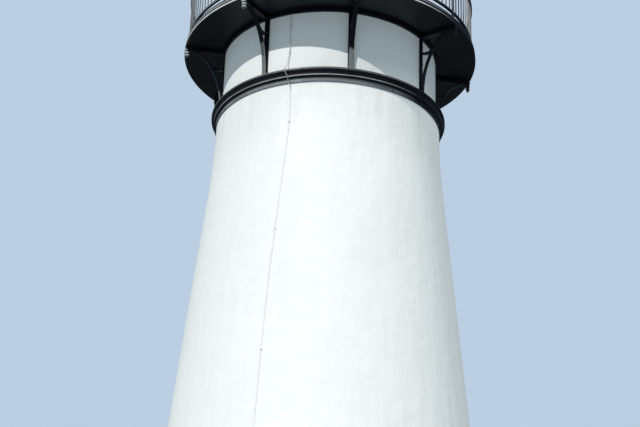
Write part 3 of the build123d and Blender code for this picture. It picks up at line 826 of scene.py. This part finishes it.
@material("Conductor wire", Specular_IOR_Level=0.5)
def conductor_wire(made, tint):
    """Twisted strand, painted over with the wall below the belt and splashed with its paint above."""
    strand = made.node("TexWave", {"bands_direction": "Z"}, Vector=made.place, Scale=60.0,
                       Distortion=0.6).outputs["Fac"]
    height = made.part(made.place, "Z")
    painted = made.maths("LESS_THAN", height, foot_of("belt_course") - 0.01)
    worn = made.patches(5.0, 0.5, 0.68)
    scraps = made.maths("SUBTRACT", 1.0, made.times(worn, 0.5))
    splashed = made.weighted(made.maths("GREATER_THAN", height, top_of("belt_course")), 0.45, 0.15)
    coat = made.times(made.maths("MAXIMUM", painted, splashed), scraps)
    coat = made.maths("MAXIMUM", coat, made.times(painted, 0.97))
    bare = made.mix(strand, 0.45 * tint.strand, tint.strand)
    made.surface(made.mix(coat, bare, tint.stucco), worn, 0.4, 0.7, made.times(strand, 0.0008))


@material("Pane glass", Transmission_Weight=1.0, IOR=1.45)
def pane_glass(made, tint):
    """Clear window glass with slight waves and a little salt bloom."""
    salted = (0.68, 0.76, 0.76)
    bloom = made.patches(2.5, 0.45, 0.75)
    base = made.over(tint.glass, salted, bloom)
    made.surface(base, bloom, 0.02, 0.12, made.skin(20.0, 0.00005, 3.0, 0.0006))


# Pieces

def wall_outline():
    """The masonry's outer line, from the ground to the deck."""
    size, belt = sizes(), foot_of("belt_course")
    batter = math.atan((size.base_radius - size.neck_radius) / (belt - size.flare_tangent))
    curve = size.flare_tangent / math.tan(batter / 2)
    flare = bend((size.neck_radius + curve, belt), curve, curve, 180 + math.degrees(batter), 180, 24)
    ledge = top_of("belt_course") - BELT_CROWN - size.belt_cap
    return [(size.base_radius, 0.0), *flare, (size.neck_radius, ledge), (size.drum_radius, ledge),
            (size.drum_radius, top_of("shaft_wall_front"))]


def split_boxes(node):
    """The boxes of a node's front and back solids."""
    boxes = []
    for side in (-1, 1):
        found = [vert.co for vert in NODES[node].data.vertices if vert.co.y * side > 0]
        boxes.append([Vector([limit(co[axis] for co in found) for axis in range(3)]) for limit in (min, max)])
    return boxes


def make_walls():
    """The masonry, waved where it faces out, with the doorway and the windows cut through."""
    size, outer, sharpest = sizes(), wall_outline(), 40
    across, up, reach = 1.7, 0.45, 2 * size.base_radius
    bm = lathe([*spaced(outer, 0.14), (size.inner_radius, outer[-1][1]), (size.inner_radius, 0.0)])
    for vert in bm.verts:
        x, y, z = vert.co
        radius = math.hypot(x, y)
        if radius > size.inner_radius + 0.1:
            wave = 0.5 + 0.8 * noise.noise(Vector((x * across, y * across, z * up)))
            inward = size.wall_wave * min(max(wave, 0.0), 1.0) / radius
            vert.co = (x - x * inward, y - y * inward, z)
    bays = ["front", "front_right", "right", "back_right", "back", "back_left", "left", "front_left"]
    masonry = piece("tower_masonry", bm, stucco(), "white_masonry", *["shaft_wall_" + bay for bay in bays],
                    smooth=sharpest)
    cuts = [(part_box("door_frame"), -1.0, (-reach, 0))]
    for case, sill, depth in zip(split_boxes("window_frames"), split_boxes("window_sills"),
                                 ((-reach, 0), (0, reach))):
        cuts.append((case, sill[0].z, depth))
    for (near, far), bottom, depth in cuts:
        modifier = masonry.modifiers.new("Opening", "BOOLEAN")
        modifier.operation = "DIFFERENCE"
        modifier.solver = "EXACT"
        modifier.object = placed("cutter", to_mesh(bar((near.x, far.x), depth, (bottom, far.z), 0.0)))
        cut = evaluated_mesh(masonry)
        bpy.data.objects.remove(modifier.object)
        masonry.modifiers.clear()
        masonry.data = cut
    masonry.data.name = "tower_masonry"
    shade(masonry.data, sharpest)


def belt_heights():
    """The belt's levels: top, foot of its face, of the cove, of the fillet and of the hollow."""
    size = sizes()
    levels = [top_of("belt_course") - size.belt_slope]
    for drop in (size.belt_nose + size.belt_face, size.belt_soffit, size.belt_fillet, size.belt_hollow):
        levels.append(levels[-1] - drop)
    return levels


def make_belt():
    size, iron, soft = sizes(), belt_iron(), 0.002
    foot, crest = foot_of("belt_course") + size.belt_rise, top_of("belt_course")
    top, face_z, under_z, fillet_z, hollow_z = belt_heights()
    neck, cap_inner = size.neck_radius, size.drum_radius + SEAT
    ledge = crest - BELT_CROWN - size.belt_cap + SEAT
    outer, under, lower = neck + size.belt_reach, neck + size.belt_soffit_reach, neck + size.belt_lower_reach
    fillet = under + size.belt_fillet_reach
    outline = [
        (cap_inner, crest), (neck, crest),
        *bend((outer - size.belt_nose, top - size.belt_nose), size.belt_nose, size.belt_nose, 90, 0, 10),
        (outer, face_z + soft), (outer - soft, face_z),
        *bend((outer, under_z), outer - under, size.belt_soffit, 90, 180, 14)[1:],
        *bend((fillet - soft, under_z - soft), soft, soft, 90, 0, 3),
        *bend((fillet - soft, fillet_z + soft), soft, soft, 0, -90, 3),
        *bend((under, hollow_z), under - lower, size.belt_hollow, 90, 180, 10),
        *bend((lower - size.belt_arris, foot + size.belt_arris), size.belt_arris, size.belt_arris, 0, -90, 4),
        (neck + SEAT, foot), (neck + SEAT, ledge), (cap_inner, ledge)]
    belt = castings(outline, neck, 36, 0.0015, iron)
    piece("belt_castings", belt, iron, "black_iron", "belt_course", smooth=35)


def make_deck():
    size, rim, tread = sizes(), rim_iron(), tread_iron()
    under, top = foot_of("gallery_deck"), top_of("lantern_floor")
    edge, inner = size.deck_radius - size.rim_bead, size.deck_inner_radius + 0.002
    soft, lip, lip_round = 0.006, size.rim_lip, size.rim_lip / 2
    soft_edge, bead_top = size.deck_radius - soft, under + size.rim_bead_height
    half_upper = size.rim_upper_height / 2
    outline = [
        (inner, under), *bend((soft_edge, under + soft), soft, soft, -90, 0, 6),
        *bend((soft_edge, bead_top - soft), soft, soft, 0, 90, 6), (edge, bead_top),
        *bend((edge, bead_top + size.rim_groove + half_upper), size.rim_upper_bead, half_upper, -90, 90, 12),
        *bend((edge - lip_round, top + lip_round), lip_round, lip_round, 0, 180, 8), (edge - lip, top),
        (inner, top)]
    plates = castings(outline, size.deck_inner_radius, 48, 0.003, rim)
    piece("deck_plates", plates, rim, "deck_iron", "gallery_deck", smooth=35)

    stud = moved(rivet(0.016, 0.0035, 6), Matrix.Diagonal((1.6, 0.7, 1, 1)))
    rows = []
    radius, spacing, row_step, slant = size.deck_inner_radius + 0.05, 0.075, 0.06, 45
    while radius < size.deck_radius - 0.16:
        head = moved(moved(stud.copy(), spin(slant)), shift(radius, 0, top))
        rows.append(all_round(head, tread, int(2 * math.pi * radius / spacing)))
        radius += row_step
        slant = -slant
    piece("deck_tread_studs", joined(*rows), tread, "deck_iron")

    low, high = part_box("deck_collar")
    near, far, soft = size.drum_radius + SEAT, high.x, 0.012
    outline = [(near, low.z), (far - soft, low.z), *bend((far - soft, low.z + soft), soft, soft, -90, 0, 5),
               (far, high.z), (near, high.z)]
    iron = gloss_iron()
    collar = castings(outline, size.deck_inner_radius, 36, 0.001, iron, BAY_ANGLE / 2)
    piece("collar_castings", collar, iron, "black_iron", "deck_collar")
    dress("lantern_floor", tread)


def bracket_mesh():
    """One bracket along +X: leg, foot, strut, tie, beam, pendant and the bolts of its leg."""
    size = sizes()
    edge, inner = size.deck_radius, size.drum_radius + SEAT
    foot, top = foot_of("gallery_bracket_1"), top_of("gallery_bracket_1")
    reach, spring = edge - size.drum_radius - size.strut_foot_depth, foot + size.strut_foot_height
    rise = top - size.beam_depth / 2 - size.strut_depth - spring
    beam_end, face = edge - size.pendant_inset, inner + size.leg_depth
    lower = bend((edge, spring), reach, rise, 180, 90, 40)
    upper = bend((edge, spring), reach + size.strut_depth, rise + size.strut_depth, 90, 180, 40)
    strut = plate([*lower, *upper], size.strut_width, 0.003)
    width = about(0, size.strut_width / 2)
    block = bar((inner, edge - reach), width, (foot, spring), 0.004)
    leg = bar((inner, face), about(0, size.leg_width / 2), (foot, foot_of("deck_collar") - SEAT))
    beam = bar((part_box("deck_collar")[1].x + SEAT, beam_end), width, (top - size.beam_depth, top), 0.004)

    tie_z = top - size.tie_drop
    sine = (tie_z - spring) / (rise + size.strut_depth / 2)
    tie_end = edge - (reach + size.strut_depth / 2) * math.sqrt(1 - sine ** 2)
    tie_start = inner + size.leg_depth / 2
    dip = bend(((tie_start + tie_end) / 2, tie_z), (tie_end - tie_start) / 2, size.tie_sag, 180, 360, 20)
    tie = plate([*dip, *[(r, z + size.tie_thickness) for r, z in reversed(dip)]], size.strut_width, 0.003)

    bulbs = [(0.25, 0.0), (0.55, 0.04), (0.6, 0.09), (0.35, 0.145), (0.8, 0.2), (0.95, 0.27), (0.8, 0.34),
             (0.42, 0.39), (0.85, 0.45), (1.0, 0.52), (0.85, 0.59), (0.45, 0.635), (0.9, 0.69), (1.0, 0.76),
             (0.8, 0.83)]
    bulbs = [(across * size.pendant_radius, top - (1 - up) * size.pendant_drop) for across, up in bulbs]
    line = smooth_line(bulbs, 4)
    ring, neck, bevel = size.pendant_radius * 0.995, top - 0.13 * size.pendant_drop, 0.003
    line += [(ring * 0.92, neck - bevel), (ring, neck + bevel), (ring, top - 0.002), (ring * 0.96, top)]
    pendant = moved(turned_piece(line, 40), shift(beam_end, 0, 0))
    bolts = [moved(hex_bolt(0.011, 0.009), outward(face - BOLT_SINK, height, across))
             for height in (spring + 0.12, (spring + top) / 2, top - 0.2)
             for across in about(0, size.leg_width / 2 - 0.016)]
    return joined(strut, block, leg, beam, tie, pendant, *bolts)


def make_brackets():
    iron = gloss_iron()
    brackets = all_round(bracket_mesh(), iron)
    piece("bracket_castings", brackets, iron, "black_iron", *numbered("gallery_bracket"))


def rail_ring(radius, width, bottom, thickness, rounding):
    """A rail right round the gallery with its edges rounded."""
    near, far = about(radius, width / 2 - rounding)
    low, high = bottom + rounding, bottom + thickness - rounding
    corners = zip(((far, low), (far, high), (near, high), (near, low)), (-90, 0, 90, 180))
    return lathe([point for centre, first in corners
                  for point in bend(centre, rounding, rounding, first, first + 90, 3)])


def make_railing():
    size, iron, bars_per_bay = sizes(), gloss_iron(), 18
    deck, top = top_of("lantern_floor"), top_of("railing_panel_1")
    radius, bottom = size.deck_radius - size.rail_inset, deck + size.rail_gap
    rail_top, under_rail = bottom + size.rail_thickness, top - size.handrail_thickness
    handrail = rail_ring(radius, size.handrail_width, under_rail, size.handrail_thickness, 0.007)
    rail = rail_ring(radius, size.rail_width, bottom, size.rail_thickness, 0.004)
    half, step = size.bar_size / 2, BAY_ANGLE / bars_per_bay
    heights = (bottom + size.rail_thickness / 2, top - size.handrail_thickness / 2)
    one = bar(about(radius, half), about(0, half), heights, 0.0015, 1)
    bars = all_round(repeated(one, iron, bars_per_bay - 1, turn=step, first=step), iron)
    half, wide, proud = size.post_size / 2, size.post_size / 2 + 0.006, 0.008
    foot_long, foot_wide, foot_top = 0.037, 0.045, deck + 0.016
    parts = [bar(about(radius, half), about(0, half), (deck + SEAT, top - 0.004)),
             bar(about(radius, wide), about(0, wide), (bottom - proud, rail_top + proud), 0.004),
             bar(about(radius, foot_long), about(0, foot_wide), (deck + SEAT, foot_top), 0.004)]
    parts += [moved(hex_bolt(0.009, 0.008), shift(x, y, foot_top - BOLT_SINK / 2))
              for x in about(radius, 0.025) for y in about(0, 0.033)]
    posts = all_round(joined(*parts), iron)
    railing = joined(handrail, rail, bars, posts)
    piece("gallery_railing", railing, iron, "black_iron", *numbered("railing_panel"))


def make_lantern():
    size, iron = sizes(), lantern_iron()
    apothem, deck = size.lantern_apothem, top_of("lantern_floor")
    for part, rounding in (("posts", 0.006), ("sills", 0.005), ("heads", 0.004), ("astragals", 0.003),
                           ("base_panels", 0.003), ("cornice", 0.005), ("hatch", 0.003)):
        node = "lantern_" + part
        piece("lantern_fine_" + part, refined(node, rounding), iron, "black_iron", node)
    dress("lantern_glass", pane_glass())

    half = apothem * math.tan(math.radians(BAY_ANGLE / 2)) - 0.08
    lower, upper = deck + 0.07, foot_of("lantern_sills") - 0.06
    proud, width, spacing = 0.008, 0.035, 0.09
    front = (apothem - 0.001, apothem + proud)
    levels = ((lower, lower + width), (upper - width, upper))
    rim = [bar(front, (-half, half), level) for level in levels]
    rim += [bar(front, side, (lower + width, upper - width))
            for side in ((-half, -half + width), (half - width, half))]
    count = int((2 * half - width) / spacing)
    for height in (lower + width / 2, upper - width / 2):
        head = outward(apothem + proud - BOLT_SINK, height, -(count - 1) * spacing / 2)
        rim.append(repeated(moved(rivet(size.rivet_radius, 0.006), head), iron, count, step=(0, spacing, 0)))
    sides = repeated(joined(*rim), iron, BAY_COUNT - 1, turn=BAY_ANGLE, first=BACK + BAY_ANGLE - 90)
    piece("lantern_panel_rims", sides, iron, "black_iron")

    low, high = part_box("lantern_hatch")
    near, width, middle = apothem - 0.005, 0.5 * (high.x - low.x), (low.z + high.z) / 2
    strap, inset, pin_height = 0.012, 0.16, 0.09
    fittings = []
    for height in (low.z + inset, high.z - inset):
        pin = shift(near + strap, -width - 0.004, height - pin_height / 2)
        fittings += [bar((near, near + strap), (-width - 0.03, -width + 0.22), about(height, 0.02)),
                     moved(hinge_pin(0.013, pin_height), pin)]
        face = near + strap - BOLT_SINK / 2
        fittings += [moved(rivet(0.008, 0.005), outward(face, height, across - width))
                     for across in (0.06, 0.12, 0.18)]
    stem = turned_piece(smooth_line([(0.028, 0.0), (0.028, 0.008), (0.012, 0.014), (0.012, 0.045)]), 20)
    fittings += [moved(stem, outward(near, middle, width - 0.07)),
                 bar((near + 0.04, near + 0.056), (width - 0.2, width - 0.055), about(middle, 0.011), 0.005)]
    piece("hatch_fittings", moved(joined(*fittings), spin(BACK - 90)), iron, "black_iron")


def make_roof():
    size, iron = sizes(), roof_iron()
    for node, rounding in (("lantern_roof", 0.004), ("roof_ribs", 0.007)):
        piece(node + "_fine", refined(node, rounding), iron, "roof_iron", node)

    low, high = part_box("roof_ribs")
    foot_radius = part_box("lantern_roof")[1].x / math.cos(math.radians(BAY_ANGLE / 2))
    slope = (high.z - low.z - 0.024) / (foot_radius - size.crown_radius)
    count, spacing, first = 13, 0.105, 0.12
    run = Vector((-1, 0, slope)).normalized()
    heads = []
    for across in about(0, 0.038):
        start = shift(foot_radius - first, across, low.z + first * slope - 0.002)
        head = moved(rivet(0.008, 0.005), start @ spin(math.degrees(math.atan(slope)), "Y"))
        heads.append(repeated(head, iron, count, step=run * spacing))
    piece("roof_rivets", all_round(joined(*heads), iron, azimuth=BAY_ANGLE / 2), iron, "roof_iron")

    low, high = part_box("roof_ventilator")
    crown, throat, cap, round_radius = (
        size.crown_radius, size.vent_neck_radius, size.vent_cap_radius, size.vent_ball_radius)
    neck = low.z + 0.04
    ball = neck + 0.11
    foot_turn, head_turn = [math.degrees(math.acos(radius / round_radius)) for radius in (throat, cap)]
    middle = ball + round_radius * math.sin(math.radians(foot_turn))
    outline = [(crown - 0.006, low.z), (crown, low.z + 0.008), (crown, neck - 0.012), (crown - 0.012, neck),
               (throat + 0.02, neck), (throat + 0.006, neck + 0.012), (throat, neck + 0.025),
               (throat, ball - 0.02),
               *bend((0, middle), round_radius, round_radius, -foot_turn, head_turn, 40),
               (cap, high.z - 0.012), (cap - 0.012, high.z)]
    band, sunk = round_radius + 0.004, round_radius - 0.006
    waist = [(sunk, middle - 0.014), (band, middle - 0.01), (band, middle + 0.01), (sunk, middle + 0.014)]
    bolts = all_round(moved(hex_bolt(0.012, 0.01), shift(crown - 0.035, 0, neck - BOLT_SINK)), iron, 12)
    slot = bar((throat - 0.004, throat + 0.008), about(0, 0.006), (neck + 0.03, ball - 0.02))
    casting = joined(turned_piece(outline, 72), turned_piece(waist, 72), bolts, all_round(slot, iron, 20))
    piece("ventilator_casting", casting, iron, "roof_iron", "roof_ventilator")

    low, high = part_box("lightning_spindle")
    radius, knop = size.spindle_radius, (low.z + high.z) / 2 + 0.003
    outline = smooth_line([
        (radius * 1.8, low.z), (radius * 1.8, low.z + 0.012), (radius, low.z + 0.03), (radius, knop - 0.045),
        (radius * 1.5, knop - 0.034), (0.031, knop), (radius * 1.5, knop + 0.034), (radius, knop + 0.045),
        (radius * 0.95, high.z - 0.06), (radius * 0.25, high.z)], 6)
    piece("spindle_turned", turned_piece(outline), weathered_copper(), "spindle_copper", "lightning_spindle")


def raised_panel(x_range, back, front, z_range, margin=0.035, step=0.004, gap=0.002):
    """A fielded panel: a flat field with a bevelled margin, facing -Y."""
    bm = bmesh.new()
    x0, x1, z0, z1 = x_range[0] + gap, x_range[1] - gap, z_range[0] + gap, z_range[1] - gap
    rings = []
    for inset, depth in ((0.0, front), (0.0, front - step), (margin, back), (margin + step, back)):
        corners = ((x0 + inset, z0 + inset), (x1 - inset, z0 + inset), (x1 - inset, z1 - inset),
                   (x0 + inset, z1 - inset))
        rings.append([bm.verts.new((x, depth, z)) for x, z in corners])
    bridge(bm, rings)
    bm.faces.new(rings[-1])
    bm.faces.new(rings[0])
    bmesh.ops.recalc_face_normals(bm, faces=bm.faces)
    return bm


def make_entrance():
    timber, iron, brass = painted_timber(), lantern_iron(), aged_brass()
    piece("threshold_stone", refined("door_threshold", 0.012, 3), granite(), "granite", "door_threshold")
    piece("door_case", refined("door_frame", 0.006), timber, "painted_timber", "door_frame")
    dress("ground_floor", floor_slabs())

    (left, outer, foot), (right, inner, head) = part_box("entrance_door")
    stile, rail, lock, face = 0.11, 0.13, foot + 0.95, (outer, outer + 0.016)
    parts = [bar((left, right), (outer + 0.014, inner), (foot, head), 0.002)]
    parts += [bar(upright, face, (foot, head), 0.004)
              for upright in ((left, left + stile), about(0, stile / 2), (right - stile, right))]
    levels = [(foot, foot + 0.2), about(lock, rail / 2), (head - 0.5, head - 0.4), (head - rail, head)]
    halves = [(left + stile, -stile / 2), (stile / 2, right - stile)]
    parts += [bar(half, face, level, 0.004) for level in levels for half in halves]
    parts += [raised_panel(half, outer + 0.004, outer + 0.018, (below[1], above[0]))
              for half in halves for below, above in zip(levels, levels[1:])]
    piece("door_joinery", joined(*parts), timber, "painted_timber", "entrance_door")

    turn, leaf, pin_height = spin(90, "X"), 0.005, 0.12
    straps = []
    for height in (foot + 0.3, lock, head - 0.3):
        pin = shift(left - 0.004, outer - 0.008, height - pin_height / 2)
        straps += [bar((left - 0.01, left + 0.09), (outer - leaf, outer), about(height, 0.055), 0.002),
                   moved(hinge_pin(0.011, pin_height), pin)]
        straps += [moved(rivet(0.007, 0.003), shift(left + 0.06, outer - leaf, height + up) @ turn)
                   for up in (-0.035, 0.0, 0.035)]
    piece("door_hinges", joined(*straps), iron, "black_iron")

    knob_x = right - 0.055
    knob = turned_piece(smooth_line([
        (0.026, 0), (0.026, 0.006), (0.011, 0.012), (0.011, 0.035), (0.024, 0.045), (0.03, 0.058),
        (0.024, 0.07), (0.008, 0.074)]), 28)
    keyhole = bar(about(knob_x, 0.015), (outer - 0.003, outer), (lock - 0.14, lock - 0.07), 0.002)
    knob = moved(knob, shift(knob_x, outer, lock) @ turn)
    piece("door_knob", joined(knob, keyhole), brass, "spindle_copper")


def make_windows():
    timber, proud, cleared = painted_timber(), 0.014, 0.002
    piece("sill_stones", refined("window_sills", 0.008, 3), granite(), "granite", "window_sills")
    piece("window_cases", refined("window_frames", 0.005), timber, "painted_timber", "window_frames")
    dress("window_glass", pane_glass())
    bars = []
    for low, high in split_boxes("window_glass"):
        near, far = low.y - proud, high.y + proud
        bars.append(bar((-0.012, 0.012), (near, far), (low.z, high.z)))
        for share, half in ((0.25, 0.012), (0.5, 0.02), (0.75, 0.012)):
            level = about(low.z + (high.z - low.z) * share, half)
            bars.append(bar((low.x, high.x), (near + cleared, far - cleared), level))
    piece("window_sash_bars", joined(*bars), timber, "painted_timber")


def make_conductor():
    """The conductor: a round wire above the belt, and below it a low ridge painted over with the wall."""
    size, wire, kept_height, eased = sizes(), conductor_wire(), 0.4, 0.1
    line = sorted(wall_outline(), key=lambda point: point[1])
    foot = foot_of("belt_course") - 0.02
    bm = bmesh.new()
    bm.from_mesh(NODES["conductor_cable"].data)
    for vert in bm.verts:
        x, y, z = vert.co
        if z < foot:
            radius = math.hypot(x, y)
            wall = next((a[0] + (b[0] - a[0]) * (z - a[1]) / (b[1] - a[1])
                         for a, b in zip(line, line[1:]) if a[1] <= z < b[1]), radius)
            pressed = wall - size.wall_wave + (radius - wall) * kept_height
            scale = 1 + min(1.0, (foot - z) / eased) * (pressed - radius) / radius
            vert.co = (x * scale, y * scale, z)
    piece("conductor_wire", bm, wire, "conductor_strand", "conductor_cable", smooth=50)
    saddles = refined("conductor_clips", 0.003)
    piece("conductor_saddles", saddles, wire, "conductor_strand", "conductor_clips")


# Stage

def heading(azimuth, elevation):
    """The direction towards an azimuth and elevation in radians."""
    level = math.cos(elevation)
    return Vector((level * math.sin(azimuth), -level * math.cos(azimuth), math.sin(elevation)))


def add_sun(name, tint, energy, azimuth, elevation, softness):
    """A distant light that shines from an azimuth and elevation."""
    lamp = bpy.data.lights.new(name, "SUN")
    lamp.energy = energy
    lamp.color = tint
    lamp.angle = softness
    placed(name, lamp).rotation_euler = heading(azimuth, elevation).to_track_quat("Z", "Y").to_euler()


def make_stage():
    """The pale floor, the backdrop, both lights and the camera."""
    tint, floor_radius = colours(), 140
    disc = bmesh.new()
    bmesh.ops.create_circle(disc, cap_ends=True, segments=96, radius=floor_radius)
    ground = placed("stage_floor", to_mesh(disc))
    made = Finish("Stage floor", Roughness=0.9, Specular_IOR_Level=0.1)
    rays = made.node("LightPath").outputs
    bounced = made.mix(rays["Is Diffuse Ray"], tint.floor, tint.floor_bounce)
    made.fill(made.sockets["Base Color"], made.mix(rays["Is Glossy Ray"], bounced, tint.floor_mirrored))
    ground.data.materials.append(made.material)

    world = bpy.data.worlds.new("Stage light")
    bpy.context.scene.world = world
    world.use_nodes = True
    world.node_tree.nodes.clear()
    sky = Graph(world.node_tree)
    rays = sky.node("LightPath").outputs
    seen = sky.maths("MAXIMUM", rays["Is Camera Ray"],
                     sky.maths("MAXIMUM", rays["Is Glossy Ray"], rays["Is Transmission Ray"]))
    light = sky.node("Background", Color=(*tint.fill, 1.0), Strength=tint.fill_strength)
    shown = sky.node("Background", None, sky.mix(rays["Is Glossy Ray"], tint.backdrop, tint.mirrored))
    mixed = sky.node("MixShader", None, seen, light.outputs[0], shown.outputs[0])
    sky.node("OutputWorld", None, mixed.outputs[0])

    add_sun("Key light", tint.key, tint.key_strength, tint.key_azimuth, tint.key_elevation, tint.key_softness)
    add_sun("Second light", tint.key, tint.second_strength, tint.second_azimuth, tint.second_elevation,
            tint.second_softness)
    bpy.context.scene.view_settings.view_transform = "Standard"
    add_camera()


def add_camera():
    """The photograph's viewpoint: an eye's height above the ground, looking up at the gallery."""
    azimuth, distance, eye_height, sensor, focal_length = -10.5, 22.82, 1.62, 36.0, 84.375
    pitch, yaw, roll = 24.52, -0.23, 1.73
    lens = bpy.data.cameras.new("Camera")
    lens.sensor_width = sensor
    lens.lens = focal_length
    camera = placed("Camera", lens)
    turn = spin(azimuth - yaw) @ spin(90 + pitch, "X") @ spin(roll)
    camera.matrix_world = shift(*(distance * heading(math.radians(azimuth), 0.0).xy), eye_height) @ turn
    bpy.context.scene.camera = camera


# Operators

class BuildStep:
    """What every build operator shares."""
    bl_options = {"REGISTER"}

    def execute(self, context):
        self.build()
        return {"FINISHED"}


class LIGHTHOUSE_OT_stage(BuildStep, bpy.types.Operator):
    """Set the pale floor, the backdrop, the lights and the camera"""
    bl_idname = "lighthouse.stage"
    bl_label = "Stage and camera"
    build = staticmethod(make_stage)


class LIGHTHOUSE_OT_walls(BuildStep, bpy.types.Operator):
    """Build the stuccoed masonry with its door and windows cut through"""
    bl_idname = "lighthouse.walls"
    bl_label = "Masonry"
    build = staticmethod(make_walls)


class LIGHTHOUSE_OT_belt(BuildStep, bpy.types.Operator):
    """Build the moulded belt under the watch room"""
    bl_idname = "lighthouse.belt"
    bl_label = "Belt course"
    build = staticmethod(make_belt)


class LIGHTHOUSE_OT_deck(BuildStep, bpy.types.Operator):
    """Build the gallery deck, its tread and its collar"""
    bl_idname = "lighthouse.deck"
    bl_label = "Gallery deck"
    build = staticmethod(make_deck)


class LIGHTHOUSE_OT_brackets(BuildStep, bpy.types.Operator):
    """Build the eight gallery brackets"""
    bl_idname = "lighthouse.brackets"
    bl_label = "Gallery brackets"
    build = staticmethod(make_brackets)


class LIGHTHOUSE_OT_railing(BuildStep, bpy.types.Operator):
    """Build the gallery railing"""
    bl_idname = "lighthouse.railing"
    bl_label = "Railing"
    build = staticmethod(make_railing)


class LIGHTHOUSE_OT_lantern(BuildStep, bpy.types.Operator):
    """Build the lantern's panels, posts, glazing and hatch"""
    bl_idname = "lighthouse.lantern"
    bl_label = "Lantern"
    build = staticmethod(make_lantern)


class LIGHTHOUSE_OT_roof(BuildStep, bpy.types.Operator):
    """Build the roof, its ventilator and its spindle"""
    bl_idname = "lighthouse.roof"
    bl_label = "Roof"
    build = staticmethod(make_roof)


class LIGHTHOUSE_OT_entrance(BuildStep, bpy.types.Operator):
    """Build the entrance door, its frame and its threshold"""
    bl_idname = "lighthouse.entrance"
    bl_label = "Entrance"
    build = staticmethod(make_entrance)


class LIGHTHOUSE_OT_windows(BuildStep, bpy.types.Operator):
    """Build the windows and their sills"""
    bl_idname = "lighthouse.windows"
    bl_label = "Windows"
    build = staticmethod(make_windows)


class LIGHTHOUSE_OT_conductor(BuildStep, bpy.types.Operator):
    """Finish the lightning conductor and its saddles"""
    bl_idname = "lighthouse.conductor"
    bl_label = "Conductor"
    build = staticmethod(make_conductor)


OPERATORS = (
    LIGHTHOUSE_OT_stage, LIGHTHOUSE_OT_walls, LIGHTHOUSE_OT_belt, LIGHTHOUSE_OT_deck, LIGHTHOUSE_OT_brackets,
    LIGHTHOUSE_OT_railing, LIGHTHOUSE_OT_lantern, LIGHTHOUSE_OT_roof, LIGHTHOUSE_OT_entrance,
    LIGHTHOUSE_OT_windows, LIGHTHOUSE_OT_conductor,
)


class LIGHTHOUSE_PT_panel(bpy.types.Panel):
    """The lighthouse's build steps, sizes and colours"""
    bl_idname = "LIGHTHOUSE_PT_panel"
    bl_label = "Lighthouse"
    bl_space_type = "VIEW_3D"
    bl_region_type = "UI"
    bl_category = "Lighthouse"

    def draw(self, context):
        for operator in OPERATORS:
            self.layout.operator(operator.bl_idname)
        for group in (sizes(), colours()):
            box = self.layout.box()
            for name in group.__annotations__:
                box.prop(group, name)


CLASSES = (LighthouseSizes, LighthouseColours, *OPERATORS, LIGHTHOUSE_PT_panel)


def register():
    for item in CLASSES:
        bpy.utils.register_class(item)
    bpy.types.Scene.lighthouse_sizes = bpy.props.PointerProperty(type=LighthouseSizes)
    bpy.types.Scene.lighthouse_colours = bpy.props.PointerProperty(type=LighthouseColours)


def unregister():
    del bpy.types.Scene.lighthouse_colours
    del bpy.types.Scene.lighthouse_sizes
    for item in reversed(CLASSES):
        bpy.utils.unregister_class(item)


def main():
    register()
    for operator in OPERATORS:
        group, name = operator.bl_idname.split(".")
        getattr(getattr(bpy.ops, group), name)()


if __name__ == "__main__":
    main()
